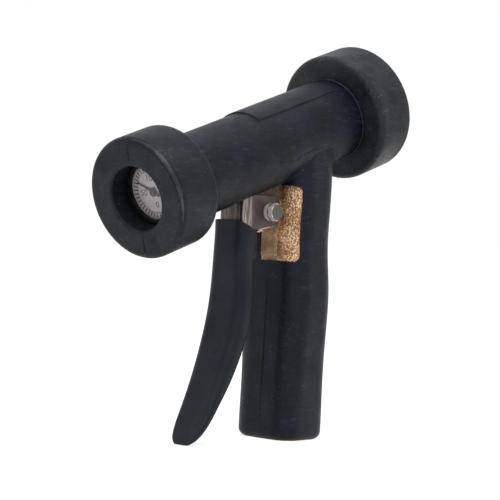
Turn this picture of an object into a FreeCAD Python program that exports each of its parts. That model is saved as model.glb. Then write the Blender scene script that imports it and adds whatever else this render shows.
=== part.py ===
import FreeCAD, Part
import os
import re
import Sketcher

# A rear-trigger washdown gun: a bronze valve casting clad in moulded rubber, with a rubber
# bumper at each end of the barrel, a dial thermometer in the rear one and a stainless lever
# that pulls the valve stem back from its seat.
# The handle stands upright on its foot, with the hose inlet's mouth at the origin. +X is
# forward, +Y is to the gun's left and the barrel tilts up towards the outlet by the rake.

# Driving sizes, in millimetres and degrees
SIZES = {
    # Layout
    "rake": 18,
    "axis_height": 157.3,
    "overrun": 5,
    "running_clearance": 0.05,
    # Rubber cover on the barrel
    "cover_radius": 21.1,
    "cover_wall": 3,
    "strip_rise": 0.8,
    "strip_back": 39.5,
    "strip_front": 23,
    "strip_angle": 70,
    # Rubber cover on the handle: half depth and half width at each level
    "grip_wall": 2.7,
    "foot_depth": 17.1,
    "foot_width": 19.2,
    "foot_round": 4,
    "foot_land": 5,
    "heel_level": 16,
    "heel_depth": 17,
    "heel_width": 19.3,
    "shank_level": 30,
    "shank_depth": 16.8,
    "shank_width": 19.3,
    "grip_level": 55,
    "grip_depth": 16.4,
    "grip_width": 20.3,
    "palm_level": 80,
    "palm_depth": 16.2,
    "palm_width": 20.6,
    "waist_level": 100,
    "waist_depth": 15.6,
    "waist_width": 19.3,
    "neck_level": 123,
    "neck_depth": 15.2,
    "neck_width": 20,
    "throat_drop": 23.3,
    "throat_depth": 15.3,
    "throat_width": 20,
    "saddle_drop": 3.3,
    "saddle_depth": 16.5,
    "saddle_width": 20,
    "grip_corner": 11,
    # Window in the cover and slot under the barrel for the lever
    "window_top": 27,
    "window_bottom": 65.6,
    "window_front": 11.4,
    "window_round": 3,
    "panel_sink": 0.3,
    "slot_half_width": 10.2,
    "slot_room": 8.5,
    "slot_margin": 0.5,
    "slot_lip": 40.5,
    "slot_top": 8,
    # Rear bumper
    "mouth_depth": 13.1,
    "rear_length": 26.7,
    "rear_radius": 30.1,
    "rear_hole": 15.8,
    "rear_round": 3,
    "mouth_round": 1.6,
    # Front bumper
    "nose_depth": 12.4,
    "front_length": 25.4,
    "front_radius": 33.4,
    "front_hole": 18,
    "front_round": 1.6,
    "shoulder_round": 3,
    # Casting
    "cast_front": 45,
    "flange_radius": 23,
    "flange_length": 4.5,
    "pocket_radius": 15.7,
    "pocket_depth": 14,
    "spring_room": 14,
    "gland_radius": 8,
    "gland_wall": 11,
    "chamber_back": 13,
    "chamber_radius": 12.5,
    "waterway_radius": 8,
    "waterway_drop": 8.3,
    "inlet_radius": 9.5,
    "inlet_depth": 16,
    # Pivot lug and the rib under it
    "pivot_back": 27.7,
    "pivot_drop": 40.8,
    "lug_radius": 7.5,
    "lug_half_width": 6,
    "lug_root": 24,
    "lug_front": 8,
    "rib_back": 16.2,
    "rib_half_width": 5,
    "rib_bottom": 65,
    "bushing_radius": 4.5,
    "bolt_radius": 2.5,
    # Lever: steel channel and fork
    "side_clearance": 0.4,
    "plate": 2.5,
    "web_back": 46.6,
    "cheek_front": 20.2,
    "cheek_top": 32.6,
    "cheek_bottom": 47.6,
    "cheek_heel": 50,
    "cheek_round": 2,
    "channel_bend": 3.4,
    "fork_half_width": 8,
    "fork_gap": 4.6,
    "fork_root": 26.5,
    "fork_depth": 4.2,
    "fork_reach": 20,
    "nub_radius": 2.5,
    "push_gap": 0.4,
    # Lever: rubber sleeve
    "sleeve_top": 45.5,
    "sleeve_heel": 50.2,
    "sleeve_lean": 40,
    "sleeve_lift": 0.4,
    "sleeve_back": 49.8,
    "sleeve_sweep": 30,
    "sleeve_depth": 13.2,
    "sleeve_half_width": 12.1,
    "sleeve_wall": 3.4,
    # Pivot bolt
    "head_flats": 8,
    "head_height": 3.2,
    "head_land": 3.7,
    "head_reach": 6,
    "head_chamfer": 30,
    "washer_thickness": 2.4,
    "washer_radius": 4.4,
    "washer_gap": 1,
    "nut_height": 4,
    "bolt_end": 1.2,
    # Stem, collar and gland
    "stem_radius": 4,
    "stem_tail": 5,
    "neck_radius": 3,
    "neck_grip": 5.7,
    "well_radius": 2.4,
    "well_end": 10,
    "push_room": 8,
    "collar_length": 4,
    "collar_radius": 12.6,
    "lock_length": 3.5,
    "lock_flats": 14,
    "ring_count": 3,
    "ring_length": 2.6,
    "follower_length": 4,
    "gland_shank": 9.7,
    "gland_head": 4,
    "gland_flats": 19,
    # Valve head and nozzle
    "seat_gap": 0.2,
    "seat_reach": 25.5,
    "seat_width": 2.6,
    "seat_stand": 1.5,
    "holder_radius": 11.6,
    "holder_lip": 1.1,
    "holder_floor": 4,
    "disc_thickness": 3.3,
    "disc_exposed": 1.5,
    "gasket_length": 1.2,
    "gasket_radius": 10,
    "nozzle_radius": 15,
    "nozzle_flange": 16.8,
    "flange_rim": 3,
    "nozzle_reach": 5,
    "nozzle_nose": 12,
    "orifice_radius": 6.4,
    "outlet_radius": 10,
    "outlet_depth": 8,
    "tip_flange": 5.2,
    "tip_flange_length": 2,
    "tip_radius": 4.3,
    "tip_flare": 5.6,
    "tip_flare_length": 5,
    "tip_land": 2,
    "tip_inset": 3,
    # Spring and rear cap
    "spring_radius": 11,
    "wire_radius": 1,
    "spring_turns": 5,
    "spring_length": 20.5,
    "cap_depth": 8,
    "cap_flange": 3,
    "cap_boss_radius": 9,
    "cap_boss": 4,
    "cap_bore": 5,
    "cap_bore_depth": 2,
    # Thermometer
    "probe_radius": 1.6,
    "probe_end": 2,
    "probe_clearance": 0.1,
    "case_radius": 15.2,
    "case_gap": 4,
    "case_depth": 10,
    "case_neck": 4,
    "case_neck_length": 9,
    "dial_thickness": 0.6,
    "dial_radius": 13.8,
    "dial_room": 1.5,
    "lens_thickness": 1,
    "bezel_lip": 0.6,
    "bezel_radius": 13,
    "pointer_lift": 0.5,
    "pointer_thickness": 0.3,
    "pointer_length": 10.4,
    "pointer_tail": 4,
    "pointer_width": 1.5,
    "pointer_tip": 0.4,
    "pointer_eye": 2.3,
    "pointer_angle": 25,
    "hub_radius": 1.3,
    "hub_lift": 0.3,
    "hub_length": 0.9,
    "spindle_radius": 0.5,
    "spindle_depth": 2,
    "spindle_end": 1.5,
}

# Places that the sizes add up to: heights, and reaches ahead of the handle's axis or behind it
PLACES = {
    "throat_level": "axis_height - throat_drop",
    "saddle_level": "axis_height - saddle_drop",
    "waterway_rise": "axis_height - waterway_drop",
    "sleeve_tip": "axis_height - sleeve_lift",
    # To the rear, from the valve chamber to the bumper's mouth
    "gland_front": "chamber_back + gland_wall",
    "follower_front": "gland_front + ring_count * ring_length",
    "follower_back": "follower_front + follower_length",
    "gland_back": "follower_back + gland_shank",
    "slot_front": "gland_back + slot_margin",
    "collar_front": "gland_back + gland_head + push_room",
    "slot_back": "collar_front + slot_room",
    "collar_back": "collar_front + collar_length",
    "stem_back": "collar_back + lock_length + stem_tail",
    "cap_front": "collar_back + spring_length + 2 * wire_radius",
    "cap_back": "cap_front + cap_depth",
    "cast_back": "cap_back + pocket_depth",
    "case_front": "cap_back + cap_flange + case_gap",
    "case_neck_end": "case_front - case_neck_length",
    "dial_reach": "case_front + case_depth",
    "pointer_back": "dial_reach + pointer_lift + pointer_thickness",
    "rear_reach": "dial_reach + mouth_depth",
    # To the front, from the valve's seat and the casting's face
    "disc_front": "seat_reach - seat_gap",
    "disc_back": "disc_front - disc_thickness",
    "stem_shoulder": "disc_back - holder_floor",
    "neck_end": "disc_front + neck_grip",
    "chamber_front": "seat_reach + seat_stand",
    "nozzle_front": "cast_front + nozzle_reach",
    "tip_front": "nozzle_front - tip_inset",
    "tip_flare_end": "tip_front - tip_land",
    "tip_neck_end": "tip_flare_end - tip_flare_length",
    "front_reach": "cast_front + nose_depth",
    "cover_front": "front_reach - front_length",
    # Across the lever, and the nubs of its fork behind the pivot
    "lug_out": "lug_half_width + side_clearance",
    "cheek_out": "lug_out + plate",
    "nub_back": "collar_front - push_gap - nub_radius",
}

# Rubber sleeve, level by level: shares of its drop, its sweep to the rear, its depth and its
# half width
SLEEVE_SHARES = [
    (0, 0, 0.92, 0.86),
    (0.13, 0, 1, 0.885),
    (0.29, 0, 0.98, 0.94),
    (0.44, 0.05, 0.98, 1),
    (0.58, 0.19, 0.94, 0.985),
    (0.72, 0.38, 0.8, 0.93),
    (0.85, 0.59, 0.54, 0.86),
    (0.94, 0.76, 0.36, 0.76),
    (0.98, 0.85, 0.28, 0.58),
    (1, 0.89, 0.2, 0.34),
]
SLEEVE_CORNER_SHARE = 0.42
TANG_LEVELS = 6
CORNER_LIMIT_SHARE = 0.98
EDGE_SHARE = 0.001

doc = FreeCAD.newDocument("WashdownGun")
sheet = doc.addObject("Spreadsheet::Sheet", "dims")
for row, (name, size) in enumerate(SIZES.items(), start=1):
    sheet.set(f"A{row}", name)
    sheet.set(f"B{row}", str(size))
    sheet.setAlias(f"B{row}", name)
doc.recompute()


# Formulas


def spelled_out(text):
    """The text with each place written out in the sheet's sizes."""
    return re.sub(
        r"[a-z_]+",
        lambda word: f"({spelled_out(PLACES[word[0]])})" if word[0] in PLACES else word[0],
        text,
    )


def formula(text):
    """The text with the sheet's name set before each size, as other objects need it."""
    return re.sub(
        r"[a-z_]+",
        lambda word: f"dims.{word[0]}" if word[0] in SIZES else word[0],
        spelled_out(text),
    )


def value(text):
    """What a formula in the sheet's sizes comes to."""
    return float(sheet.evalExpression(spelled_out(text)))


def bind(thing, place, text):
    """Ties one property to a formula, so that it follows the sheet."""
    thing.setExpression(place, formula(text))


# Bodies and sketches


def tilt(thing, along="0"):
    """Sets a piece that is drawn along X on the barrel's axis, at a distance along it."""
    thing.Placement = FreeCAD.Placement(
        FreeCAD.Vector(value(f"({along}) * cos(rake)"), 0, value("axis_height")),
        FreeCAD.Rotation(FreeCAD.Vector(0, -1, 0), value("rake")),
    )
    bind(thing, "Placement.Base.x", f"({along}) * cos(rake)")
    bind(thing, "Placement.Base.z", f"axis_height + ({along}) * sin(rake)")
    bind(thing, "Placement.Rotation.Angle", "rake")


def new_body(label):
    """An empty body in the gun's own frame, with the handle upright."""
    body = doc.addObject("PartDesign::Body", label)
    body.Label = label
    return body


def barrel_body(label):
    """An empty body whose X axis is the barrel's axis."""
    body = new_body(label)
    tilt(body)
    return body


def new_sketch(body, role, height=None):
    """A sketch on one of the body's own planes, or a distance off it."""
    sketch = body.newObject("Sketcher::SketchObject", f"{body.Name}_sketch")
    plane = next(item for item in body.Origin.OriginFeatures if item.Role == role)
    sketch.AttachmentSupport = [(plane, "")]
    sketch.MapMode = "FlatFace"
    if height is not None:
        bind(sketch, "AttachmentOffset.Base.z", height)
    return sketch


def distances(sketch, geometry, corner, across, along):
    """Fixes one point of a sketch by two formulas."""
    for kind, text in (("DistanceX", across), ("DistanceY", along)):
        spot = Sketcher.Constraint(kind, -1, 1, geometry, corner, value(text))
        index = sketch.addConstraint(spot)
        bind(sketch, f"Constraints[{index}]", text)


def corner_arc(before, spot, after, radius):
    """Where a corner's arc begins, its middle and its end. With no radius all three meet."""
    back = (before - spot).normalize()
    ahead = (after - spot).normalize()
    cosine = back.dot(ahead)
    setback = radius * ((1 + cosine) / (1 - cosine)) ** 0.5
    to_centre = radius / ((1 - cosine) / 2) ** 0.5
    inward = (back + ahead).normalize() if radius else back
    return spot + back * setback, spot + inward * (to_centre - radius), spot + ahead * setback


def outline(sketch, points):
    """A closed outline through (across, along) formulas. A third formula rounds that corner."""
    spots = [FreeCAD.Vector(value(point[0]), value(point[1]), 0) for point in points]
    rounds = [value(point[2]) if len(point) > 2 else 0 for point in points]
    following = spots[1:] + spots[:1]
    arcs = [
        corner_arc(spots[index - 1], spot, following[index], rounds[index])
        for index, spot in enumerate(spots)
    ]
    lines = [
        sketch.addGeometry(Part.LineSegment(arc[2], arcs[(index + 1) % len(arcs)][0]))
        for index, arc in enumerate(arcs)
    ]
    for index, point in enumerate(points):
        before = lines[index - 1]
        after = lines[index]
        if not rounds[index]:
            sketch.addConstraint(Sketcher.Constraint("Coincident", before, 2, after, 1))
            distances(sketch, after, 1, point[0], point[1])
            continue
        begin, middle, finish = arcs[index]
        arc = sketch.addGeometry(Part.Arc(begin, middle, finish))
        to_begin = [(sketch.getPoint(arc, side) - begin).Length for side in (1, 2)]
        first = 1 if to_begin[0] < to_begin[1] else 2
        corner = sketch.addGeometry(Part.Point(spots[index]), True)
        sketch.addConstraint(
            [
                Sketcher.Constraint("Tangent", before, 2, arc, first),
                Sketcher.Constraint("Tangent", after, 1, arc, 3 - first),
                Sketcher.Constraint("PointOnObject", corner, 1, before),
                Sketcher.Constraint("PointOnObject", corner, 1, after),
            ]
        )
        radius = sketch.addConstraint(Sketcher.Constraint("Radius", arc, rounds[index]))
        bind(sketch, f"Constraints[{radius}]", point[2])
        distances(sketch, corner, 1, point[0], point[1])


CIRCLE_CENTRE = 3


def circle(sketch, radius, across="0", along="0"):
    """A circle in a sketch, about a point given by two formulas."""
    spot = FreeCAD.Vector(value(across), value(along), 0)
    ring = sketch.addGeometry(Part.Circle(spot, FreeCAD.Vector(0, 0, 1), value(radius)))
    size = sketch.addConstraint(Sketcher.Constraint("Radius", ring, value(radius)))
    bind(sketch, f"Constraints[{size}]", radius)
    distances(sketch, ring, CIRCLE_CENTRE, across, along)


def hexagon(sketch, flats):
    """A hexagon about the sketch's origin, given across its flats."""
    outline(
        sketch,
        [
            (f"{flats} / sqrt(3) * cos({angle})", f"{flats} / sqrt(3) * sin({angle})")
            for angle in range(30, 390, 60)
        ],
    )


# Features


def revolve(body, points, kind="PartDesign::Revolution"):
    """Turns an outline of (along, radius) points about the body's X axis."""
    sketch = new_sketch(body, "XZ_Plane")
    outline(sketch, points)
    turned = body.newObject(kind, f"{body.Name}_turned")
    turned.Profile = sketch
    turned.ReferenceAxis = (sketch, ["H_Axis"])
    turned.Angle = 360
    return turned


def turned_body(label, points):
    """A turned piece on the barrel's axis."""
    body = barrel_body(label)
    revolve(body, points)
    return body


def plate(body, points, half_width):
    """A plate spread evenly to both sides of the gun's middle plane."""
    sketch = new_sketch(body, "XZ_Plane")
    outline(sketch, points)
    pad = body.newObject("PartDesign::Pad", f"{body.Name}_plate")
    pad.Profile = sketch
    pad.SideType = "Symmetric"
    bind(pad, "Length", f"2 * ({half_width})")
    return pad


def notch(body, points, half_width):
    """A cut spread evenly to both sides of the gun's middle plane."""
    sketch = new_sketch(body, "XZ_Plane")
    outline(sketch, points)
    pocket = body.newObject("PartDesign::Pocket", f"{body.Name}_notch")
    pocket.Profile = sketch
    pocket.SideType = "Symmetric"
    bind(pocket, "Length", f"2 * ({half_width})")
    return pocket


def cross_hole(body, radius, half_width):
    """A round hole through a plate at the lever's pivot."""
    sketch = new_sketch(body, "XZ_Plane")
    circle(sketch, radius, "-pivot_back", "axis_height - pivot_drop")
    pocket = body.newObject("PartDesign::Pocket", f"{body.Name}_hole")
    pocket.Profile = sketch
    pocket.SideType = "Symmetric"
    bind(pocket, "Length", f"2 * ({half_width} + overrun)")
    return pocket


def bore(body, start, length, radius):
    """A round hole along the body's X axis, from a place on it."""
    sketch = new_sketch(body, "YZ_Plane", start)
    circle(sketch, radius)
    pocket = body.newObject("PartDesign::Pocket", f"{body.Name}_bore")
    pocket.Profile = sketch
    pocket.Reversed = True
    bind(pocket, "Length", length)
    return pocket


def hex_pad(body, start, length, flats):
    """A hexagon prism along the body's X axis."""
    sketch = new_sketch(body, "YZ_Plane", start)
    hexagon(sketch, flats)
    pad = body.newObject("PartDesign::Pad", f"{body.Name}_hexagon")
    pad.Profile = sketch
    bind(pad, "Length", length)
    return pad


def chamfer_hexagon(body, face, inward):
    """Cones off a hexagon's corners at one end. Inward is the sign of the way into it."""
    reach = "(head_reach - head_land) * tan(head_chamfer)"
    revolve(
        body,
        [
            (face, "head_land"),
            (face, "head_reach"),
            (f"{face} + ({inward}) * {reach}", "head_reach"),
        ],
        "PartDesign::Groove",
    )


def round_edges(feature, radius, height):
    """Rounds the edges of a feature whose middles have no height, as the last word measures it."""
    names = [
        f"Edge{number}"
        for number, edge in enumerate(feature.Shape.Edges, start=1)
        if abs(height(edge.BoundBox.Center)) < edge.Length * EDGE_SHARE
    ]
    fillet = feature.getParent().newObject("PartDesign::Fillet", f"{feature.Name}_rounding")
    fillet.Base = (feature, names)
    bind(fillet, "Radius", radius)


def level_section(body, level, back, front, half_width, corner):
    """A level rounded rectangle, as a section of a handle or sleeve."""
    sketch = new_sketch(body, "XY_Plane", level)
    outline(
        sketch,
        [
            (back, f"-({half_width})", corner),
            (front, f"-({half_width})", corner),
            (front, half_width, corner),
            (back, half_width, corner),
        ],
    )
    return sketch


def loft(body, sections):
    """A smooth solid through level sections."""
    skin = body.newObject("PartDesign::AdditiveLoft", f"{body.Name}_loft")
    skin.Profile = sections[0]
    skin.Sections = [(section, [""]) for section in sections[1:]]
    return skin


def handle_form(label, wall, foot_edge=None):
    """The handle's form, inside the rubber's outer face by a wall: a straight foot whose lower
    edge may be rounded, and a smooth loft on it."""
    body = new_body(label)
    levels = [
        ("foot_land", "foot"),
        ("heel_level", "heel"),
        ("shank_level", "shank"),
        ("grip_level", "grip"),
        ("palm_level", "palm"),
        ("waist_level", "waist"),
        ("neck_level", "neck"),
        ("throat_level", "throat"),
        ("saddle_level", "saddle"),
    ]
    foot, *sections = [
        level_section(
            body,
            level,
            f"-({name}_depth - {wall})",
            f"{name}_depth - {wall}",
            f"{name}_width - {wall}",
            f"grip_corner - {wall}",
        )
        for level, name in [("0", "foot"), *levels]
    ]
    pad = body.newObject("PartDesign::Pad", f"{label}_foot")
    pad.Profile = foot
    bind(pad, "Length", "foot_land")
    if foot_edge:
        doc.recompute()
        round_edges(pad, foot_edge, lambda middle: middle.z)
    loft(body, sections)
    return body


def joined(label, shapes):
    """One solid made of several that overlap."""
    fusion = doc.addObject("Part::MultiFuse", label)
    fusion.Label = label
    fusion.Shapes = shapes
    return fusion


def cut(label, base, tool):
    """A solid with another taken out of it."""
    difference = doc.addObject("Part::Cut", label)
    difference.Label = label
    difference.Base = base
    difference.Tool = tool
    return difference


# Valve casting

cast_barrel = turned_body(
    "cast_barrel",
    [
        ("-cast_back", "0"),
        ("-cast_back", "cover_radius - cover_wall"),
        ("cast_front - flange_length", "cover_radius - cover_wall"),
        ("cast_front - flange_length", "flange_radius"),
        ("cast_front", "flange_radius"),
        ("cast_front", "0"),
    ],
)
cast_handle = handle_form("cast_handle", "grip_wall")
cast_lug = new_body("cast_lug")
plate(
    cast_lug,
    [
        ("-(pivot_back + lug_radius)", "axis_height - lug_root"),
        (
            "-(pivot_back + lug_radius)",
            "axis_height - pivot_drop - lug_radius",
            f"lug_radius * {CORNER_LIMIT_SHARE}",
        ),
        ("-lug_front", "axis_height - pivot_drop - lug_radius"),
        ("-lug_front", "axis_height - lug_root"),
    ],
    "lug_half_width",
)
cast_rib = new_body("cast_rib")
plate(
    cast_rib,
    [
        ("-rib_back", "axis_height - pivot_drop"),
        ("-rib_back", "axis_height - rib_bottom", "window_round"),
        ("-lug_front", "axis_height - rib_bottom"),
        ("-lug_front", "axis_height - pivot_drop"),
    ],
    "rib_half_width",
)
# The window in the rubber, and the panel of the casting that fills it almost to the rubber's face
WINDOW = [
    ("-(foot_depth + overrun)", "axis_height - window_bottom"),
    ("-window_front", "axis_height - window_bottom", "window_round"),
    ("-window_front", "axis_height - window_top", "window_round"),
    ("-(foot_depth + overrun)", "axis_height - window_top"),
]
panel_skin = handle_form("panel_skin", "panel_sink")
panel_window = new_body("panel_window")
plate(panel_window, WINDOW, "saddle_width + overrun")
cast_panel = doc.addObject("Part::Common", "cast_panel")
cast_panel.Base = panel_skin
cast_panel.Tool = panel_window
cast_form = joined("cast_form", [cast_barrel, cast_handle, cast_lug, cast_rib, cast_panel])

barrel_core = turned_body(
    "barrel_core",
    [
        ("-cast_back - overrun", "0"),
        ("-cast_back - overrun", "pocket_radius"),
        ("-cap_back", "pocket_radius"),
        ("-cap_back", "spring_room"),
        ("-gland_back", "spring_room"),
        ("-gland_back", "gland_radius"),
        ("-gland_front", "gland_radius"),
        ("-gland_front", "stem_radius + running_clearance"),
        ("-chamber_back", "stem_radius + running_clearance"),
        ("-chamber_back", "chamber_radius"),
        ("chamber_front", "chamber_radius"),
        ("chamber_front", "nozzle_radius"),
        ("cast_front + overrun", "nozzle_radius"),
        ("cast_front + overrun", "0"),
    ],
)
waterway = doc.addObject("Part::Cylinder", "waterway")
bind(waterway, "Radius", "waterway_radius")
bind(waterway, "Height", "waterway_rise")
inlet = doc.addObject("Part::Cylinder", "inlet")
bind(inlet, "Radius", "inlet_radius")
bind(inlet, "Height", "inlet_depth + overrun")
bind(inlet, "Placement.Base.z", "-overrun")
casting_slot = barrel_body("casting_slot")
plate(
    casting_slot,
    [
        ("-slot_back", "-cover_radius - overrun"),
        ("-slot_front", "-cover_radius - overrun"),
        ("-slot_front", "-slot_top"),
        ("-slot_back", "-slot_top"),
    ],
    "slot_half_width",
)
pivot_bore = doc.addObject("Part::Cylinder", "pivot_bore")
pivot_bore.Placement.Rotation = FreeCAD.Rotation(FreeCAD.Vector(1, 0, 0), 90)
bind(pivot_bore, "Radius", "bushing_radius")
bind(pivot_bore, "Height", "2 * (lug_half_width + overrun)")
bind(pivot_bore, "Placement.Base.x", "-pivot_back")
bind(pivot_bore, "Placement.Base.y", "lug_half_width + overrun")
bind(pivot_bore, "Placement.Base.z", "axis_height - pivot_drop")
casting_cores = joined(
    "casting_cores", [barrel_core, waterway, inlet, casting_slot, pivot_bore]
)
valve_body = cut("valve_body", cast_form, casting_cores)

# Rubber cover

cover_handle = handle_form("cover_handle", "0", "foot_round")
notch(cover_handle, WINDOW, "saddle_width + overrun")
cover_barrel = turned_body(
    "cover_barrel",
    [
        ("-(rear_reach - rear_length)", "0"),
        ("-(rear_reach - rear_length)", "cover_radius"),
        ("cover_front", "cover_radius"),
        ("cover_front", "0"),
    ],
)
cover_strip = barrel_body("cover_strip")
strip_sketch = new_sketch(cover_strip, "XZ_Plane")
outline(
    strip_sketch,
    [
        ("-strip_back", "cover_radius - cover_wall / 2"),
        ("-strip_back", "cover_radius + strip_rise"),
        ("strip_front", "cover_radius + strip_rise"),
        ("strip_front", "cover_radius - cover_wall / 2"),
    ],
)
strip_turned = cover_strip.newObject("PartDesign::Revolution", "strip_turned")
strip_turned.Profile = strip_sketch
strip_turned.ReferenceAxis = (strip_sketch, ["H_Axis"])
strip_turned.Midplane = True
bind(strip_turned, "Angle", "strip_angle")
cover_form = joined("cover_form", [cover_handle, cover_barrel, cover_strip])
cover_slot = barrel_body("cover_slot")
plate(
    cover_slot,
    [
        ("-slot_back", "-cover_radius - overrun"),
        ("-slot_lip", "-cover_radius - overrun"),
        ("-slot_lip", "-slot_top"),
        ("-slot_back", "-slot_top"),
    ],
    "slot_half_width",
)
cover_cores = joined("cover_cores", [cast_form, cover_slot])
body_cover = cut("body_cover", cover_form, cover_cores)

# Rubber bumpers

rear_bumper = turned_body(
    "rear_bumper",
    [
        ("-rear_reach", "rear_hole", "mouth_round"),
        ("-rear_reach", "rear_radius", "rear_round"),
        ("-(rear_reach - rear_length)", "rear_radius", "rear_round"),
        ("-(rear_reach - rear_length)", "cover_radius - cover_wall"),
        ("-cast_back", "cover_radius - cover_wall"),
        ("-cast_back", "rear_hole"),
    ],
)
front_bumper = turned_body(
    "front_bumper",
    [
        ("cover_front", "front_radius", "shoulder_round"),
        ("front_reach", "front_radius", "front_round"),
        ("front_reach", "front_hole", "mouth_round"),
        ("cast_front", "front_hole"),
        ("cast_front", "flange_radius"),
        ("cast_front - flange_length", "flange_radius"),
        ("cast_front - flange_length", "cover_radius - cover_wall"),
        ("cover_front", "cover_radius - cover_wall"),
    ],
)

# Spray nozzle and its gasket

spray_nozzle = turned_body(
    "spray_nozzle",
    [
        ("seat_reach", "orifice_radius"),
        ("seat_reach", "orifice_radius + seat_width"),
        ("chamber_front + gasket_length", "orifice_radius + seat_width"),
        ("chamber_front + gasket_length", "nozzle_radius"),
        ("cast_front", "nozzle_radius"),
        ("cast_front", "nozzle_flange"),
        ("cast_front + flange_rim", "nozzle_flange"),
        ("cast_front + flange_rim", "nozzle_nose"),
        ("nozzle_front", "nozzle_nose"),
        ("nozzle_front", "outlet_radius"),
        ("nozzle_front - outlet_depth", "orifice_radius"),
    ],
)
nozzle_gasket = turned_body(
    "nozzle_gasket",
    [
        ("chamber_front", "gasket_radius"),
        ("chamber_front", "nozzle_radius"),
        ("chamber_front + gasket_length", "nozzle_radius"),
        ("chamber_front + gasket_length", "gasket_radius"),
    ],
)

# Valve stem with the thermometer's well, and the valve head on its neck

valve_stem = turned_body(
    "valve_stem",
    [
        ("-stem_back", "well_radius"),
        ("-stem_back", "stem_radius"),
        ("stem_shoulder", "stem_radius"),
        ("stem_shoulder", "neck_radius"),
        ("neck_end", "neck_radius"),
        ("neck_end", "0"),
        ("well_end", "0"),
        ("well_end", "well_radius"),
    ],
)
disc_holder = turned_body(
    "disc_holder",
    [
        ("stem_shoulder", "neck_radius"),
        ("stem_shoulder", "holder_radius"),
        ("disc_front - disc_exposed", "holder_radius"),
        ("disc_front - disc_exposed", "holder_radius - holder_lip"),
        ("disc_back", "holder_radius - holder_lip"),
        ("disc_back", "neck_radius"),
    ],
)
seat_disc = turned_body(
    "seat_disc",
    [
        ("disc_back", "neck_radius"),
        ("disc_back", "holder_radius - holder_lip"),
        ("disc_front", "holder_radius - holder_lip"),
        ("disc_front", "neck_radius"),
    ],
)
spray_tip = turned_body(
    "spray_tip",
    [
        ("disc_front", "neck_radius"),
        ("disc_front", "tip_flange"),
        ("disc_front + tip_flange_length", "tip_flange"),
        ("disc_front + tip_flange_length", "tip_radius"),
        ("tip_neck_end", "tip_radius"),
        ("tip_flare_end", "tip_flare"),
        ("tip_front", "tip_flare"),
        ("tip_front", "0"),
        ("neck_end", "0"),
        ("neck_end", "neck_radius"),
    ],
)

# Push collar and its lock nut on the stem

stem_collar = turned_body(
    "stem_collar",
    [
        ("-collar_front", "stem_radius"),
        ("-collar_front", "collar_radius"),
        ("-collar_back", "collar_radius"),
        ("-collar_back", "stem_radius"),
    ],
)


def barrel_nut(label, back, front, flats, bore_radius):
    """A hexagon nut on the barrel's axis."""
    body = barrel_body(label)
    hex_pad(body, back, f"({front}) - ({back})", flats)
    bore(body, back, f"({front}) - ({back}) + overrun", bore_radius)
    return body


lock_nut = barrel_nut(
    "lock_nut",
    "-collar_back - lock_length",
    "-collar_back",
    "lock_flats",
    "stem_radius",
)

# Gland: packing rings, follower and packing nut

packing_rings = []
for count in range(SIZES["ring_count"]):
    packing_rings.append(
        turned_body(
            f"packing_ring_{count + 1}",
            [
                (f"-gland_front - {count} * ring_length", "stem_radius + running_clearance"),
                (f"-gland_front - {count} * ring_length", "gland_radius"),
                (f"-gland_front - {count + 1} * ring_length", "gland_radius"),
                (f"-gland_front - {count + 1} * ring_length", "stem_radius + running_clearance"),
            ],
        )
    )
packing_follower = turned_body(
    "packing_follower",
    [
        ("-follower_front", "stem_radius + running_clearance"),
        ("-follower_front", "gland_radius"),
        ("-follower_back", "gland_radius"),
        ("-follower_back", "stem_radius + running_clearance"),
    ],
)
packing_nut = barrel_nut(
    "packing_nut",
    "-gland_back - gland_head",
    "-gland_back",
    "gland_flats",
    "stem_radius + running_clearance",
)
revolve(
    packing_nut,
    [
        ("-gland_back - gland_head / 2", "stem_radius + running_clearance"),
        ("-gland_back - gland_head / 2", "gland_radius"),
        ("-follower_back", "gland_radius"),
        ("-follower_back", "stem_radius + running_clearance"),
    ],
)

# Return spring between the collar and the rear cap

coil = doc.addObject("Part::Helix", "spring_coil")
bind(coil, "Radius", "spring_radius")
bind(coil, "Height", "spring_length")
bind(coil, "Pitch", "spring_length / spring_turns")
wire = doc.addObject("Part::Circle", "spring_wire")
wire.Placement.Rotation = FreeCAD.Rotation(FreeCAD.Vector(1, 0, 0), 90)
bind(wire, "Radius", "wire_radius")
bind(wire, "Placement.Base.x", "spring_radius")
doc.recompute()
return_spring = doc.addObject("Part::Sweep", "return_spring")
return_spring.Label = "return_spring"
return_spring.Sections = [wire]
return_spring.Spine = (coil, ["Edge1"])
return_spring.Solid = True
return_spring.Frenet = True
return_spring.Placement.Rotation = FreeCAD.Rotation(FreeCAD.Vector(0, 1, 0), 90)
bind(return_spring, "Placement.Rotation.Angle", "90 - rake")
bind(return_spring, "Placement.Base.x", "(wire_radius - cap_front) * cos(rake)")
bind(return_spring, "Placement.Base.z", "axis_height + (wire_radius - cap_front) * sin(rake)")

# Rear cap

rear_cap = turned_body(
    "rear_cap",
    [
        ("-cap_back - cap_flange", "case_neck"),
        ("-cap_back - cap_flange", "pocket_radius"),
        ("-cap_back", "pocket_radius"),
        ("-cap_back", "spring_room"),
        ("-cap_front", "spring_room"),
        ("-cap_front", "cap_boss_radius"),
        ("-cap_front + cap_boss", "cap_boss_radius"),
        ("-cap_front + cap_boss", "cap_bore"),
        ("-cap_front - cap_bore_depth", "cap_bore"),
        ("-cap_front - cap_bore_depth", "probe_radius + probe_clearance"),
        ("-case_neck_end", "probe_radius + probe_clearance"),
        ("-case_neck_end", "case_neck"),
    ],
)

# Thermometer

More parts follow.
